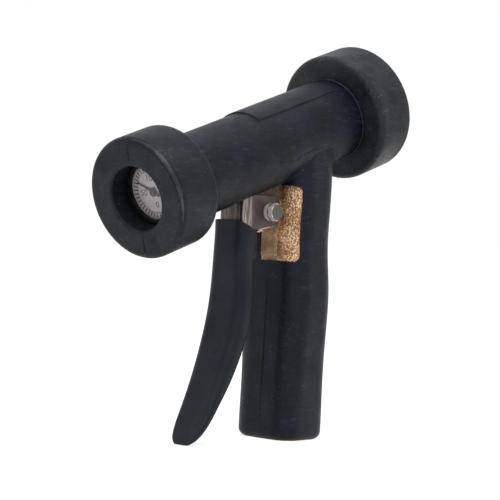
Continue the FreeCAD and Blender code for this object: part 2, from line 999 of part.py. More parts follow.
thermometer_case = turned_body(
    "thermometer_case",
    [
        ("-dial_reach - dial_room", "dial_radius"),
        ("-dial_reach - dial_room", "case_radius"),
        ("-case_front", "case_radius"),
        ("-case_front", "case_neck"),
        ("-case_neck_end", "case_neck"),
        ("-case_neck_end", "0"),
        ("-dial_reach + spindle_depth", "0"),
        ("-dial_reach + spindle_depth", "spindle_radius + running_clearance"),
        ("-dial_reach + dial_thickness", "spindle_radius + running_clearance"),
        ("-dial_reach + dial_thickness", "dial_radius"),
    ],
)
thermometer_probe = turned_body(
    "thermometer_probe",
    [
        ("-case_neck_end", "0"),
        ("-case_neck_end", "probe_radius"),
        ("-probe_end", "probe_radius", f"probe_radius * {CORNER_LIMIT_SHARE}"),
        ("-probe_end", "0"),
    ],
)
dial_plate = turned_body(
    "dial_plate",
    [
        ("-dial_reach", "spindle_radius + running_clearance"),
        ("-dial_reach", "dial_radius"),
        ("-dial_reach + dial_thickness", "dial_radius"),
        ("-dial_reach + dial_thickness", "spindle_radius + running_clearance"),
    ],
)
dial_lens = turned_body(
    "dial_lens",
    [
        ("-dial_reach - dial_room - lens_thickness", "0"),
        ("-dial_reach - dial_room - lens_thickness", "dial_radius"),
        ("-dial_reach - dial_room", "dial_radius"),
        ("-dial_reach - dial_room", "0"),
    ],
)
dial_bezel = turned_body(
    "dial_bezel",
    [
        ("-dial_reach - dial_room - lens_thickness - bezel_lip", "bezel_radius"),
        ("-dial_reach - dial_room - lens_thickness - bezel_lip", "case_radius", "bezel_lip"),
        ("-dial_reach - dial_room", "case_radius"),
        ("-dial_reach - dial_room", "dial_radius"),
        ("-dial_reach - dial_room - lens_thickness", "dial_radius"),
        ("-dial_reach - dial_room - lens_thickness", "bezel_radius"),
    ],
)

# Pointer on its hub

pointer_hub = turned_body(
    "pointer_hub",
    [
        ("-dial_reach - hub_lift - hub_length", "0"),
        ("-dial_reach - hub_lift - hub_length", "hub_radius"),
        ("-dial_reach - hub_lift", "hub_radius"),
        ("-dial_reach - hub_lift", "spindle_radius"),
        ("-dial_reach + spindle_end", "spindle_radius"),
        ("-dial_reach + spindle_end", "0"),
    ],
)
pointer = barrel_body("pointer")
pointer_sketch = new_sketch(pointer, "YZ_Plane", "-pointer_back")


def dial_point(out, side):
    """A point of the pointer: out along it from the spindle, and to its side."""
    return (
        f"({out}) * cos(pointer_angle) - ({side}) * sin(pointer_angle)",
        f"({out}) * sin(pointer_angle) + ({side}) * cos(pointer_angle)",
    )


outline(
    pointer_sketch,
    [
        dial_point("-pointer_tail", "-pointer_width / 2"),
        dial_point("0", "-pointer_width / 2"),
        dial_point("pointer_length", "-pointer_tip / 2"),
        dial_point("pointer_length", "pointer_tip / 2"),
        dial_point("0", "pointer_width / 2"),
        dial_point("-pointer_tail", "pointer_width / 2"),
    ],
)
pointer_pad = pointer.newObject("PartDesign::Pad", "pointer_pad")
pointer_pad.Profile = pointer_sketch
bind(pointer_pad, "Length", "pointer_thickness")
revolve(
    pointer,
    [
        ("-pointer_back", "0"),
        ("-pointer_back", "pointer_eye"),
        ("-dial_reach - pointer_lift", "pointer_eye"),
        ("-dial_reach - pointer_lift", "0"),
    ],
)
bore(pointer, "-pointer_back - overrun", "pointer_thickness + 2 * overrun", "hub_radius")

# Lever: channel, fork and tang


def on_barrel(along, up):
    """A point in the gun's frame, from places along the barrel's axis and above it."""
    return (
        f"({along}) * cos(rake) - ({up}) * sin(rake)",
        f"axis_height + ({along}) * sin(rake) + ({up}) * cos(rake)",
    )


lever_steel = new_body("lever_steel")
plate(
    lever_steel,
    [
        ("-web_back", "axis_height - cheek_top"),
        ("-web_back", "axis_height - cheek_heel"),
        ("-(sleeve_back - sleeve_depth)", "axis_height - cheek_heel", "cheek_round"),
        ("-cheek_front", "axis_height - cheek_bottom", "cheek_round"),
        ("-cheek_front", "axis_height - cheek_top", "cheek_round"),
    ],
    "cheek_out",
)
notch(
    lever_steel,
    [
        ("-web_back + plate", "axis_height - cheek_top + overrun"),
        ("-web_back + plate", "axis_height - cheek_heel - overrun"),
        ("-cheek_front + overrun", "axis_height - cheek_heel - overrun"),
        ("-cheek_front + overrun", "axis_height - cheek_top + overrun"),
    ],
    "lug_out",
)
doc.recompute()
round_edges(
    lever_steel.Tip,
    "channel_bend",
    lambda middle: abs(middle.x - value("-web_back")) + abs(abs(middle.y) - value("cheek_out")),
)
plate(
    lever_steel,
    [
        ("-web_back", "axis_height - cheek_top - plate"),
        on_barrel("-nub_back - nub_radius", "-nub_radius"),
        (*on_barrel("-nub_back - nub_radius", "nub_radius"), f"nub_radius * {CORNER_LIMIT_SHARE}"),
        (*on_barrel("-nub_back + nub_radius", "nub_radius"), f"nub_radius * {CORNER_LIMIT_SHARE}"),
        on_barrel("-nub_back + nub_radius", "-nub_radius"),
        ("-web_back + fork_depth", "axis_height - cheek_top - plate"),
    ],
    "fork_half_width",
)
notch(
    lever_steel,
    [
        ("-web_back - fork_reach", "axis_height - fork_root"),
        ("-web_back + fork_reach", "axis_height - fork_root"),
        ("-web_back + fork_reach", "axis_height + overrun"),
        ("-web_back - fork_reach", "axis_height + overrun"),
    ],
    "fork_gap",
)
cross_hole(lever_steel, "bolt_radius", "cheek_out")


def sleeve_sections(body, rows, wall):
    """Level sections of the lever's curved sleeve, inside its outer face by a wall."""
    sections = []
    for drop, sweep, depth, width in rows:
        back = f"-(sleeve_back + {sweep} * sleeve_sweep - {wall})"
        front = (
            f"-(sleeve_back + {sweep} * sleeve_sweep - {depth} * sleeve_depth + {wall})"
        )
        half = f"{width} * sleeve_half_width - {wall}"
        corner = f"{SLEEVE_CORNER_SHARE} * ({depth} * sleeve_depth - 2 * ({wall}))"
        level = f"axis_height - sleeve_top - {drop} * (sleeve_tip - sleeve_top)"
        sections.append(level_section(body, level, back, front, half, corner))
    return sections


lever_tang = new_body("lever_tang")
loft(lever_tang, sleeve_sections(lever_tang, SLEEVE_SHARES[:TANG_LEVELS], "sleeve_wall"))
lever = joined("lever", [lever_steel, lever_tang])

# Rubber sleeve on the lever

sleeve_form = new_body("sleeve_form")
loft(sleeve_form, sleeve_sections(sleeve_form, SLEEVE_SHARES, "0"))
notch(
    sleeve_form,
    [
        ("-sleeve_back", "axis_height - sleeve_top + overrun"),
        ("-sleeve_back", "axis_height - sleeve_top"),
        ("-sleeve_lean", "axis_height - sleeve_heel"),
        ("-(sleeve_back - sleeve_depth) + overrun", "axis_height - sleeve_heel"),
        ("-(sleeve_back - sleeve_depth) + overrun", "axis_height - sleeve_top + overrun"),
    ],
    "sleeve_half_width + overrun",
)
lever_grip = cut("lever_grip", sleeve_form, lever)

# Pivot: bushing in the lug, bolt, lock washer and nut on the lever's cheeks


def cross_body(label):
    """An empty body whose X axis is the lever's pivot, pointing to the gun's left."""
    body = new_body(label)
    body.Placement.Rotation = FreeCAD.Rotation(FreeCAD.Vector(0, 0, 1), 90)
    bind(body, "Placement.Base.x", "-pivot_back")
    bind(body, "Placement.Base.z", "axis_height - pivot_drop")
    return body


pivot_bushing = cross_body("pivot_bushing")
revolve(
    pivot_bushing,
    [
        ("-lug_half_width", "bolt_radius + running_clearance"),
        ("-lug_half_width", "bushing_radius"),
        ("lug_half_width", "bushing_radius"),
        ("lug_half_width", "bolt_radius + running_clearance"),
    ],
)
lock_washer = cross_body("lock_washer")
revolve(
    lock_washer,
    [
        ("-cheek_out - washer_thickness", "bolt_radius"),
        ("-cheek_out - washer_thickness", "washer_radius"),
        ("-cheek_out", "washer_radius"),
        ("-cheek_out", "bolt_radius"),
    ],
)
notch(
    lock_washer,
    [
        ("-cheek_out - washer_thickness - overrun", "0"),
        ("-cheek_out - washer_thickness - overrun", "washer_radius + overrun"),
        ("-cheek_out + overrun", "washer_radius + overrun"),
        ("-cheek_out + overrun", "0"),
    ],
    "washer_gap / 2",
)
pivot_bolt = cross_body("pivot_bolt")
hex_pad(
    pivot_bolt,
    "-cheek_out - washer_thickness - head_height",
    "head_height",
    "head_flats",
)
revolve(
    pivot_bolt,
    [
        ("-cheek_out - washer_thickness - head_height / 2", "0"),
        ("-cheek_out - washer_thickness - head_height / 2", "bolt_radius"),
        ("cheek_out + nut_height + bolt_end", "bolt_radius"),
        ("cheek_out + nut_height + bolt_end", "0"),
    ],
)
chamfer_hexagon(pivot_bolt, "-cheek_out - washer_thickness - head_height", "1")
pivot_nut = cross_body("pivot_nut")
hex_pad(pivot_nut, "cheek_out", "nut_height", "head_flats")
bore(pivot_nut, "cheek_out", "nut_height + overrun", "bolt_radius")
chamfer_hexagon(pivot_nut, "cheek_out", "1")
chamfer_hexagon(pivot_nut, "cheek_out + nut_height", "-1")

# Checks and files

PARTS = [
    valve_body,
    body_cover,
    rear_bumper,
    front_bumper,
    spray_nozzle,
    nozzle_gasket,
    valve_stem,
    disc_holder,
    seat_disc,
    spray_tip,
    stem_collar,
    lock_nut,
    *packing_rings,
    packing_follower,
    packing_nut,
    return_spring,
    rear_cap,
    thermometer_case,
    thermometer_probe,
    dial_plate,
    dial_lens,
    dial_bezel,
    pointer_hub,
    pointer,
    lever,
    lever_grip,
    pivot_bushing,
    lock_washer,
    pivot_bolt,
    pivot_nut,
]

doc.recompute()
faults = [
    f"{item.Label}: {', '.join(item.State)}"
    for item in doc.Objects
    if {"Invalid", "Error"} & set(item.State)
]
made = [item for item in doc.Objects if item.isDerivedFrom("PartDesign::Feature")]
for item in [*made, *PARTS]:
    if item.Shape.isNull() or not item.Shape.isValid() or len(item.Shape.Solids) != 1:
        faults.append(f"{item.Label}: shape is null, invalid or not one solid")
if faults:
    raise SystemExit("\n".join(faults))
os.makedirs("parts", exist_ok=True)
for part in PARTS:
    part.Shape.exportStep(f"parts/{part.Label}.step")
    print(f"{part.Label}: {part.Shape.Volume:.0f} cubic millimetres")
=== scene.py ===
import math

import bmesh
import bpy
from mathutils import Matrix, Vector, noise


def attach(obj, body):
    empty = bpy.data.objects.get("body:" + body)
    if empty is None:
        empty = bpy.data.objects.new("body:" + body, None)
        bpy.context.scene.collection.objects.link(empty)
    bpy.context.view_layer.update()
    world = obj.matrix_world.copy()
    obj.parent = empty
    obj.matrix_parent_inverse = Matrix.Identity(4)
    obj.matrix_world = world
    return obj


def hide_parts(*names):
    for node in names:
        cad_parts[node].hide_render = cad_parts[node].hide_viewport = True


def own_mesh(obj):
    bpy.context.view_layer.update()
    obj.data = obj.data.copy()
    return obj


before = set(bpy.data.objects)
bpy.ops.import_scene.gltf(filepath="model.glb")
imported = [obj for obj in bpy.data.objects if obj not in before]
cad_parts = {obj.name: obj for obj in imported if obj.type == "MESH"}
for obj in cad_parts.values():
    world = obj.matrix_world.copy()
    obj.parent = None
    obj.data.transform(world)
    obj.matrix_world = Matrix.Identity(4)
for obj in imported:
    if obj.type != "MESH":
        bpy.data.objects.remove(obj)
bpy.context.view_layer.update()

# Valve casting: barrel, handle pipe and the lever's lug in one piece of sand-cast bronze. It is left as
# cast where the cover's window shows it, so its flanks glitter with grain between dark pits.


def paint(colour):
    """The linear colour of an sRGB hex value, as a node's socket takes it."""
    parts = [int(colour[start : start + 2], 16) / 255 for start in (1, 3, 5)]
    light = [part / 12.92 if part <= 0.04045 else ((part + 0.055) / 1.055) ** 2.4 for part in parts]
    return (*light, 1)


def add(finish, kind, settings):
    """Adds one node. A setting names a property or an input, by its place where inputs share a name. A
    pair of a node and its output is a link, and stops are a ramp's places and hex colours."""
    node = finish.node_tree.nodes.new(f"ShaderNode{kind}")
    for name, setting in settings.items():
        if name == "stops":
            ramp = node.color_ramp.elements
            ramp.remove(ramp[0])
            ramp[0].position = setting[0][0]
            ramp[0].color = paint(setting[0][1])
            for along, colour in setting[1:]:
                ramp.new(along).color = paint(colour)
        elif isinstance(setting, tuple) and isinstance(setting[0], bpy.types.Node):
            finish.node_tree.links.new(setting[0].outputs[setting[1]], node.inputs[name])
        elif isinstance(name, int) or name in node.inputs:
            node.inputs[name].default_value = setting
        else:
            setattr(node, name, setting)
    return node


def new_finish(name):
    """An empty material and its Object coordinates."""
    finish = bpy.data.materials.new(name)
    finish.use_nodes = True
    finish.node_tree.nodes.clear()
    return finish, add(finish, "TexCoord", {})


def surface(finish, settings):
    """The material's one shader, from settings as a node takes them."""
    shader = add(finish, "BsdfPrincipled", settings)
    add(finish, "OutputMaterial", {"Surface": (shader, "BSDF")})


def repeats(size):
    """A pattern's scale for a size in millimetres."""
    return 1000 / size


def wear(piece, finish):
    """Gives a piece one material on all its faces."""
    slots = piece.material_slots
    if not slots:
        piece.data.materials.append(finish)
    for slot in slots:
        slot.material = finish


def dress(names, finish):
    """Gives the solids of these names one material."""
    for name in names:
        wear(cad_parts[name], finish)


# The sand's grains are a third of this in the real skin, and are drawn coarser so that they show.
CAST_GRAIN = 1
CAST_SAND = 0.5
CAST_PATCHES = 9
CAST_RELIEF = 0.0004
CAST_EDGE = 0.0009
BEVEL_RAYS = 6
DRESSED_HALF_WIDTH = 0.0038
GRAINY_FROM = 0.0078
DRESSED_WOBBLE = 0.0028
LUG_SHADE_START = -0.0165
LUG_SHADE_END = -0.0195
COVER_SHADOW_BOTTOM = 0.119
COVER_SHADOW_TOP = 0.124
COVER_SHADOW_EDGE = -0.008
COVER_SHADOW_MIDDLE = -0.0055
# Places of a colour Mix node's share, its colour underneath, the one laid over it, and the result.
SHARE = 0
UNDER = 6
OVER = 7
MIXED = 2
sand_cast_bronze, place = new_finish("sand_cast_bronze")
grains = add(
    sand_cast_bronze,
    "TexVoronoi",
    {"Vector": (place, "Object"), "Scale": repeats(CAST_GRAIN), "Randomness": 1},
)
sand = add(
    sand_cast_bronze,
    "TexNoise",
    {"Vector": (place, "Object"), "Scale": repeats(CAST_SAND), "Detail": 4, "Roughness": 0.6},
)
patches = add(
    sand_cast_bronze,
    "TexNoise",
    {"Vector": (place, "Object"), "Scale": repeats(CAST_PATCHES), "Detail": 3},
)
# The rib's back was dressed smooth with a file, and the flanks still have the sand's grain. The dressed
# back is also painted darker than the flanks, as painted shade where it faces the lever.
cast_spot = add(sand_cast_bronze, "SeparateXYZ", {"Vector": (place, "Object")})
from_middle = add(sand_cast_bronze, "Math", {"operation": "ABSOLUTE", 0: (cast_spot, "Y")})
dressed_drift = add(
    sand_cast_bronze,
    "MapRange",
    {"Value": (patches, "Fac"), "To Min": -DRESSED_WOBBLE, "To Max": DRESSED_WOBBLE},
)
off_middle = add(
    sand_cast_bronze,
    "Math",
    {"operation": "ADD", 0: (from_middle, "Value"), 1: (dressed_drift, "Result")},
)
grainy = add(
    sand_cast_bronze,
    "MapRange",
    {"Value": (off_middle, "Value"), "From Min": DRESSED_HALF_WIDTH, "From Max": GRAINY_FROM},
)
domes = add(
    sand_cast_bronze,
    "MapRange",
    {"Value": (grains, "Distance"), "From Max": 0.75, "To Min": 1, "To Max": 0},
)
rough_skin = add(
    sand_cast_bronze,
    "Math",
    {"operation": "MULTIPLY_ADD", 0: (sand, "Fac"), 1: 0.9, 2: (domes, "Result")},
)
skin_height = add(
    sand_cast_bronze,
    "Math",
    {"operation": "MULTIPLY", 0: (rough_skin, "Value"), 1: (grainy, "Result")},
)
grain_tone = add(
    sand_cast_bronze,
    "ValToRGB",
    {"Fac": (rough_skin, "Value"), "stops": [(0.48, "#b58862"), (0.7, "#dcae86"), (1, "#fbdcb8")]},
)
dressed_tone_painted_shade = add(
    sand_cast_bronze,
    "ValToRGB",
    {"Fac": (sand, "Fac"), "stops": [(0.3, "#8e7158"), (0.7, "#b09170")]},
)
metal_tone = add(
    sand_cast_bronze,
    "Mix",
    {
        "data_type": "RGBA",
        SHARE: (grainy, "Result"),
        UNDER: (dressed_tone_painted_shade, "Color"),
        OVER: (grain_tone, "Color"),
    },
)
tarnish = add(
    sand_cast_bronze,
    "ValToRGB",
    {"Fac": (patches, "Fac"), "stops": [(0.35, "#c8b8a8"), (0.6, "#ffffff")]},
)
tarnished = add(
    sand_cast_bronze,
    "Mix",
    {
        "data_type": "RGBA",
        "blend_type": "MULTIPLY",
        SHARE: 1,
        UNDER: (metal_tone, MIXED),
        OVER: (tarnish, "Color"),
    },
)
# Painted shade darkens the lug between the lever's cheeks, and a painted shadow darkens the rib's back
# up to the cover's edge, under the cover.
lug_shade = add(
    sand_cast_bronze,
    "MapRange",
    {
        "Value": (cast_spot, "X"),
        "From Min": LUG_SHADE_END,
        "From Max": LUG_SHADE_START,
        "To Min": 1,
        "To Max": 0,
    },
)
cover_shadow_height = add(
    sand_cast_bronze,
    "MapRange",
    {"Value": (cast_spot, "Z"), "From Min": COVER_SHADOW_BOTTOM, "From Max": COVER_SHADOW_TOP},
)
cover_shadow_side = add(
    sand_cast_bronze,
    "MapRange",
    {"Value": (cast_spot, "Y"), "From Min": COVER_SHADOW_EDGE, "From Max": COVER_SHADOW_MIDDLE},
)
cover_shadow = add(
    sand_cast_bronze,
    "Math",
    {"operation": "MULTIPLY", 0: (cover_shadow_height, "Result"), 1: (cover_shadow_side, "Result")},
)
painted_bronze_shade = add(
    sand_cast_bronze,
    "Math",
    {"operation": "MAXIMUM", 0: (lug_shade, "Result"), 1: (cover_shadow, "Value")},
)
# The painted shade's dark colour is mixed in here.
shaded_bronze_tone = add(
    sand_cast_bronze,
    "Mix",
    {
        "data_type": "RGBA",
        SHARE: (painted_bronze_shade, "Value"),
        UNDER: (tarnished, MIXED),
        OVER: paint("#5f5248"),
    },
)
cast_edge = add(sand_cast_bronze, "Bevel", {"Radius": CAST_EDGE, "samples": BEVEL_RAYS})
cast_relief = add(
    sand_cast_bronze,
    "Bump",
    {
        "Height": (skin_height, "Value"),
        "Strength": 1,
        "Distance": CAST_RELIEF,
        "Normal": (cast_edge, "Normal"),
    },
)
cast_gloss = add(
    sand_cast_bronze,
    "MapRange",
    {"Value": (rough_skin, "Value"), "From Min": 0.5, "From Max": 1.2, "To Min": 0.6, "To Max": 0.34},
)
surface(
    sand_cast_bronze,
    {
        "Base Color": (shaded_bronze_tone, MIXED),
        "Metallic": 0.7,
        "Roughness": (cast_gloss, "Result"),
        "Normal": (cast_relief, "Normal"),
    },
)
dress(["valve_body"], sand_cast_bronze)

# Hose thread: the tapped pipe thread inside the casting's inlet, which the hose's fitting screws into.
# Its crests are cut bright, so they shine against the cast wall round them.
THREAD_PITCH = 0.0018
THREAD_TURNS = 7
THREAD_STEPS = 40
THREAD_ROOT = 0.0098
THREAD_CREST = 0.0085
THREAD_START = 0.0012
SAME_SPOT = 1e-7
# One ridge's corners: each one's radius, and its height as a share of the pitch.
THREAD_RIDGE = [(THREAD_ROOT, 0), (THREAD_CREST, 0.4), (THREAD_CREST, 0.55), (THREAD_ROOT, 0.95)]
thread_mesh = bmesh.new()
thread_end = thread_mesh.faces.new(
    [thread_mesh.verts.new((radius, 0, THREAD_START + THREAD_PITCH * up)) for radius, up in THREAD_RIDGE]
)
bmesh.ops.spin(
    thread_mesh,
    geom=[thread_end, *thread_end.edges, *thread_end.verts],
    axis=(0, 0, 1),
    cent=(0, 0, 0),
    dvec=(0, 0, THREAD_PITCH / THREAD_STEPS),
    angle=math.tau * THREAD_TURNS,
    steps=THREAD_STEPS * THREAD_TURNS,
)


def shown(name, data):
    """An object that shows this data in the scene."""
    thing = bpy.data.objects.new(name, data)
    bpy.context.scene.collection.objects.link(thing)
    return thing


def finished(name, mesh, body, finish, smooth=True):
    """Makes a bmesh a piece in the gun's frame, on a body, with its finish."""
    bmesh.ops.remove_doubles(mesh, verts=mesh.verts, dist=SAME_SPOT)
    bmesh.ops.recalc_face_normals(mesh, faces=mesh.faces)
    data = bpy.data.meshes.new(name)
    mesh.to_mesh(data)
    mesh.free()
    for face in data.polygons:
        face.use_smooth = smooth
    piece = shown(name, data)
    wear(piece, finish)
    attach(piece, body)
    return piece


def mottled(name, size, detail, stops, settings, relief=None):
    """A finish mottled by one noise: the size of its spots in millimetres, its tones, the shader's own
    settings and, where its skin isn't smooth, how strong and how deep the relief is."""
    finish, place = new_finish(name)
    spots = add(
        finish,
        "TexNoise",
        {"Vector": (place, "Object"), "Scale": repeats(size), "Detail": detail},
    )
    tone = add(finish, "ValToRGB", {"Fac": (spots, "Fac"), "stops": stops})
    settings = {"Base Color": (tone, "Color"), **settings}
    if relief:
        strength, depth = relief
        skin = add(finish, "Bump", {"Height": (spots, "Fac"), "Strength": strength, "Distance": depth})
        settings["Normal"] = (skin, "Normal")
    surface(finish, settings)
    return finish


# Fresh bronze off the tap, with a faint chatter along the cut.
cut_bronze = mottled(
    "cut_bronze",
    size=0.8,
    detail=3,
    stops=[(0.35, "#a37c54"), (0.7, "#dcb58a")],
    settings={"Metallic": 1, "Roughness": 0.34},
    relief=(0.3, 0.0001),
)
finished("inlet_thread", thread_mesh, "gun", cut_bronze, smooth=False)

# Rubber cover: one piece of black rubber moulded over the barrel and the handle, open where the lever
# swings. It is matt and slightly mottled, with fine dust, short scuffs and edges that are rubbed grey and
# also painted lighter as a highlight.

RAKE = math.radians(18)
RUBBER_GRAIN = 0.9
RUBBER_CLOUDS = 14
# Dust is finer than this on the real gun, and is drawn as coarse as it needs to show.
RUBBER_DUST = 2.2
SCUFF_LENGTH = 7
SCUFF_WIDTH = 1.6
SCUFF_SHARE = 0.11
RUBBER_EDGE = 0.0009
EDGE_WEAR_AND_HIGHLIGHT = 0.0016
MOULD_LINE = 0.0003
MOULD_WOBBLE = 0.0005
MOULD_WAVE = 7


def moulded_rubber(name, dark, pale, gloss, dust, line):
    """A moulded black rubber: its two tones, its roughness as gloss, how much dust clings to it, and
    how far the line where the mould's halves met stands up, in the middle plane of the gun."""
    finish, place = new_finish(name)
    spot = add(finish, "SeparateXYZ", {"Vector": (place, "Object")})
    wobble = add(
        finish,
        "TexNoise",
        {"Vector": (place, "Object"), "Scale": repeats(MOULD_WAVE), "Detail": 2},
    )
    drift = add(
        finish,
        "MapRange",
        {"Value": (wobble, "Fac"), "To Min": -MOULD_WOBBLE, "To Max": MOULD_WOBBLE},
    )
    across = add(finish, "Math", {"operation": "ADD", 0: (spot, "Y"), 1: (drift, "Result")})
    from_line = add(finish, "Math", {"operation": "ABSOLUTE", 0: (across, "Value")})
    mould_line = add(
        finish,
        "MapRange",
        {"Value": (from_line, "Value"), "From Max": MOULD_LINE, "To Min": line, "To Max": 0},
    )
    grain = add(
        finish,
        "TexNoise",
        {"Vector": (place, "Object"), "Scale": repeats(RUBBER_GRAIN), "Detail": 6, "Roughness": 0.6},
    )
    clouds = add(
        finish,
        "TexNoise",
        {"Vector": (place, "Object"), "Scale": repeats(RUBBER_CLOUDS), "Detail": 4, "Roughness": 0.6},
    )
    specks = add(
        finish,
        "TexVoronoi",
        {"Vector": (place, "Object"), "Scale": repeats(RUBBER_DUST), "Randomness": 1},
    )
    speck_spots = add(
        finish,
        "MapRange",
        {"Value": (specks, "Distance"), "From Min": 0.07, "From Max": 0.16, "To Min": 1, "To Max": 0},
    )
    speck_areas = add(
        finish,
        "MapRange",
        {"Value": (clouds, "Fac"), "From Min": 0.52, "From Max": 0.68, "To Max": dust},
    )
    speck_share = add(
        finish,
        "Math",
        {"operation": "MULTIPLY", 0: (speck_spots, "Result"), 1: (speck_areas, "Result")},
    )
    # Scuffs from floors and hoses run the long way of the barrel.
    scuff_line = add(
        finish,
        "Mapping",
        {
            "Vector": (place, "Object"),
            "Rotation": (0, -RAKE, 0),
            "Scale": (repeats(SCUFF_LENGTH), repeats(SCUFF_WIDTH), repeats(SCUFF_WIDTH)),
        },
    )
    scuff_noise = add(
        finish,
        "TexNoise",
        {"Vector": (scuff_line, "Vector"), "Scale": 1, "Detail": 4, "Roughness": 0.6},
    )
    scuffs = add(
        finish,
        "MapRange",
        {
            "Value": (scuff_noise, "Fac"),
            "From Min": 0.56,
            "From Max": 0.72,
            "To Max": dust * SCUFF_SHARE,
        },
    )
    marks = add(
        finish,
        "Math",
        {"operation": "MAXIMUM", 0: (speck_share, "Value"), 1: (scuffs, "Result")},
    )
    tone = add(finish, "ValToRGB", {"Fac": (clouds, "Fac"), "stops": [(0.38, dark), (0.64, pale)]})
    dusted = add(
        finish,
        "Mix",
        {
            "data_type": "RGBA",
            SHARE: (marks, "Value"),
            UNDER: (tone, "Color"),
            OVER: paint("#a3a19b"),
        },
    )
    # Wear and a painted highlight on the edges, rubbed grey and painted lighter: the rounded normal
    # leaves the face's own only near an edge.
    rounded = add(finish, "Bevel", {"Radius": EDGE_WEAR_AND_HIGHLIGHT, "samples": BEVEL_RAYS})
    facing = add(finish, "NewGeometry", {})
    on_edge = add(
        finish,
        "VectorMath",
        {"operation": "DOT_PRODUCT", 0: (rounded, "Normal"), 1: (facing, "Normal")},
    )
    rubbed_and_highlit_edges = add(
        finish,
        "MapRange",
        {"Value": (on_edge, "Value"), "From Min": 0.8, "From Max": 0.98, "To Min": 0.55, "To Max": 0},
    )
    rubbed_and_highlit_patches = add(
        finish,
        "Math",
        {"operation": "MULTIPLY", 0: (rubbed_and_highlit_edges, "Result"), 1: (clouds, "Fac")},
    )
    scuffed_and_highlit = add(
        finish,
        "Mix",
        {
            "data_type": "RGBA",
            SHARE: (rubbed_and_highlit_patches, "Value"),
            UNDER: (dusted, MIXED),
            OVER: paint("#5a5a5c"),
        },
    )
    edge = add(finish, "Bevel", {"Radius": RUBBER_EDGE, "samples": BEVEL_RAYS})
    skin = add(
        finish,
        "Bump",
        {
            "Height": (grain, "Fac"),
            "Strength": 0.35,
            "Distance": 0.0003,
            "Normal": (edge, "Normal"),
        },
    )
    relief = add(
        finish,
        "Bump",
        {"Height": (mould_line, "Result"), "Distance": 0.0004, "Normal": (skin, "Normal")},
    )
    sheen = add(
        finish,
        "MapRange",
        {
            "Value": (clouds, "Fac"),
            "From Min": 0.3,
            "From Max": 0.7,
            "To Min": gloss + 0.1,
            "To Max": gloss - 0.06,
        },
    )
    surface(
        finish,
        {
            "Base Color": (scuffed_and_highlit, MIXED),
            "Roughness": (sheen, "Result"),
            "Specular IOR Level": 0.22,
            "Normal": (relief, "Normal"),
        },
    )
    return finish


cover_rubber = moulded_rubber(
    "moulded_cover_rubber", "#02050f", "#0e1527", gloss=0.47, dust=0.55, line=1
)
dress(["body_cover"], cover_rubber)

# Cover's own flash and seams: the mould leaves a raised bead where the cover ends against the front
# bumper, a seam down the handle's back and a ridge where the handle's shoulder meets the barrel.
AXIS_HEIGHT = 0.1573
on_barrel = Matrix.Translation((0, 0, AXIS_HEIGHT)) @ Matrix.Rotation(-RAKE, 4, "Y")
COVER_RADIUS = 0.0211
END_BEAD_PLACE = 0.0309
END_BEAD_RADIUS = 0.0009
END_BEAD_ANGLES = (-178, 178)
END_BEAD_STEPS = 120
SEAM_RADIUS = 0.0004
RIDGE_RADIUS = 0.00045
BEAD_SIDES = 10
BEAD_TAPER = 0.6
BEAD_UNEVEN = 0.35
BEAD_WAVE = 0.0025
# The seam down the handle's back: heights up the handle, and its depth at each.
HANDLE_BACK = [
    (0.0045, 0.0169),
    (0.016, 0.017),
    (0.03, 0.0168),
    (0.042, 0.0166),
    (0.055, 0.0164),
    (0.068, 0.0163),
    (0.08, 0.0162),
    (0.09, 0.0159),
]
# The ridge at the shoulder: places along the barrel, and degrees from its top.
SHOULDER_RIDGE = [
    (-0.0386, 102.2),
    (-0.034, 103.4),
    (-0.0285, 107.5),
    (-0.0235, 111.7),
    (-0.0214, 106.6),
    (-0.0156, 105.8),
    (-0.0098, 105.7),
    (-0.003, 107.6),
    (0.0039, 109.4),
    (0.0055, 107.5),
]


def bead(name, spots, radius, body, finish):
    """A round bead of uneven thickness through spots, thinner towards its two closed ends."""
    mesh = bmesh.new()
    rings = []
    for index, spot in enumerate(spots):
        along = spots[min(index + 1, len(spots) - 1)] - spots[max(index - 1, 0)]
        turn = Matrix.Translation(spot) @ along.to_track_quat("Z", "Y").to_matrix().to_4x4()
        swell = math.sin(math.pi * (index + 0.5) / len(spots)) ** BEAD_TAPER
        thick = radius * swell * (1 + BEAD_UNEVEN * noise.noise(spot / BEAD_WAVE))
        corners = bmesh.ops.create_circle(mesh, segments=BEAD_SIDES, radius=thick, matrix=turn)["verts"]
        rings.append({edge for corner in corners for edge in corner.link_edges})
    ends = [*rings[0], *rings[-1]]
    for before, after in zip(rings, rings[1:]):
        bmesh.ops.bridge_loops(mesh, edges=[*before, *after])
    bmesh.ops.holes_fill(mesh, edges=ends)
    finished(name, mesh, body, finish)


def by_barrel(along, radius, degrees):
    """A spot at a place along the barrel, a radius from its axis, and degrees from its top towards the
    gun's right."""
    turn = math.radians(degrees)
    return on_barrel @ Vector((along, -radius * math.sin(turn), radius * math.cos(turn)))


def round_barrel(along, radius, start, end, count):
    """Spots round the barrel from one angle to another."""
    return [by_barrel(along, radius, start + (end - start) * step / count) for step in range(count + 1)]


for name, radius, spots in (
    (
        "cover_end_bead",
        END_BEAD_RADIUS,
        round_barrel(
            END_BEAD_PLACE, COVER_RADIUS + END_BEAD_RADIUS / 3, *END_BEAD_ANGLES, END_BEAD_STEPS
        ),
    ),
    ("handle_seam", SEAM_RADIUS, [Vector((-depth, 0, height)) for height, depth in HANDLE_BACK]),
    (
        "shoulder_ridge",
        RIDGE_RADIUS,
        [by_barrel(along, COVER_RADIUS, degrees) for along, degrees in SHOULDER_RIDGE],
    ),
):
    bead(name, spots, radius, "gun", cover_rubber)

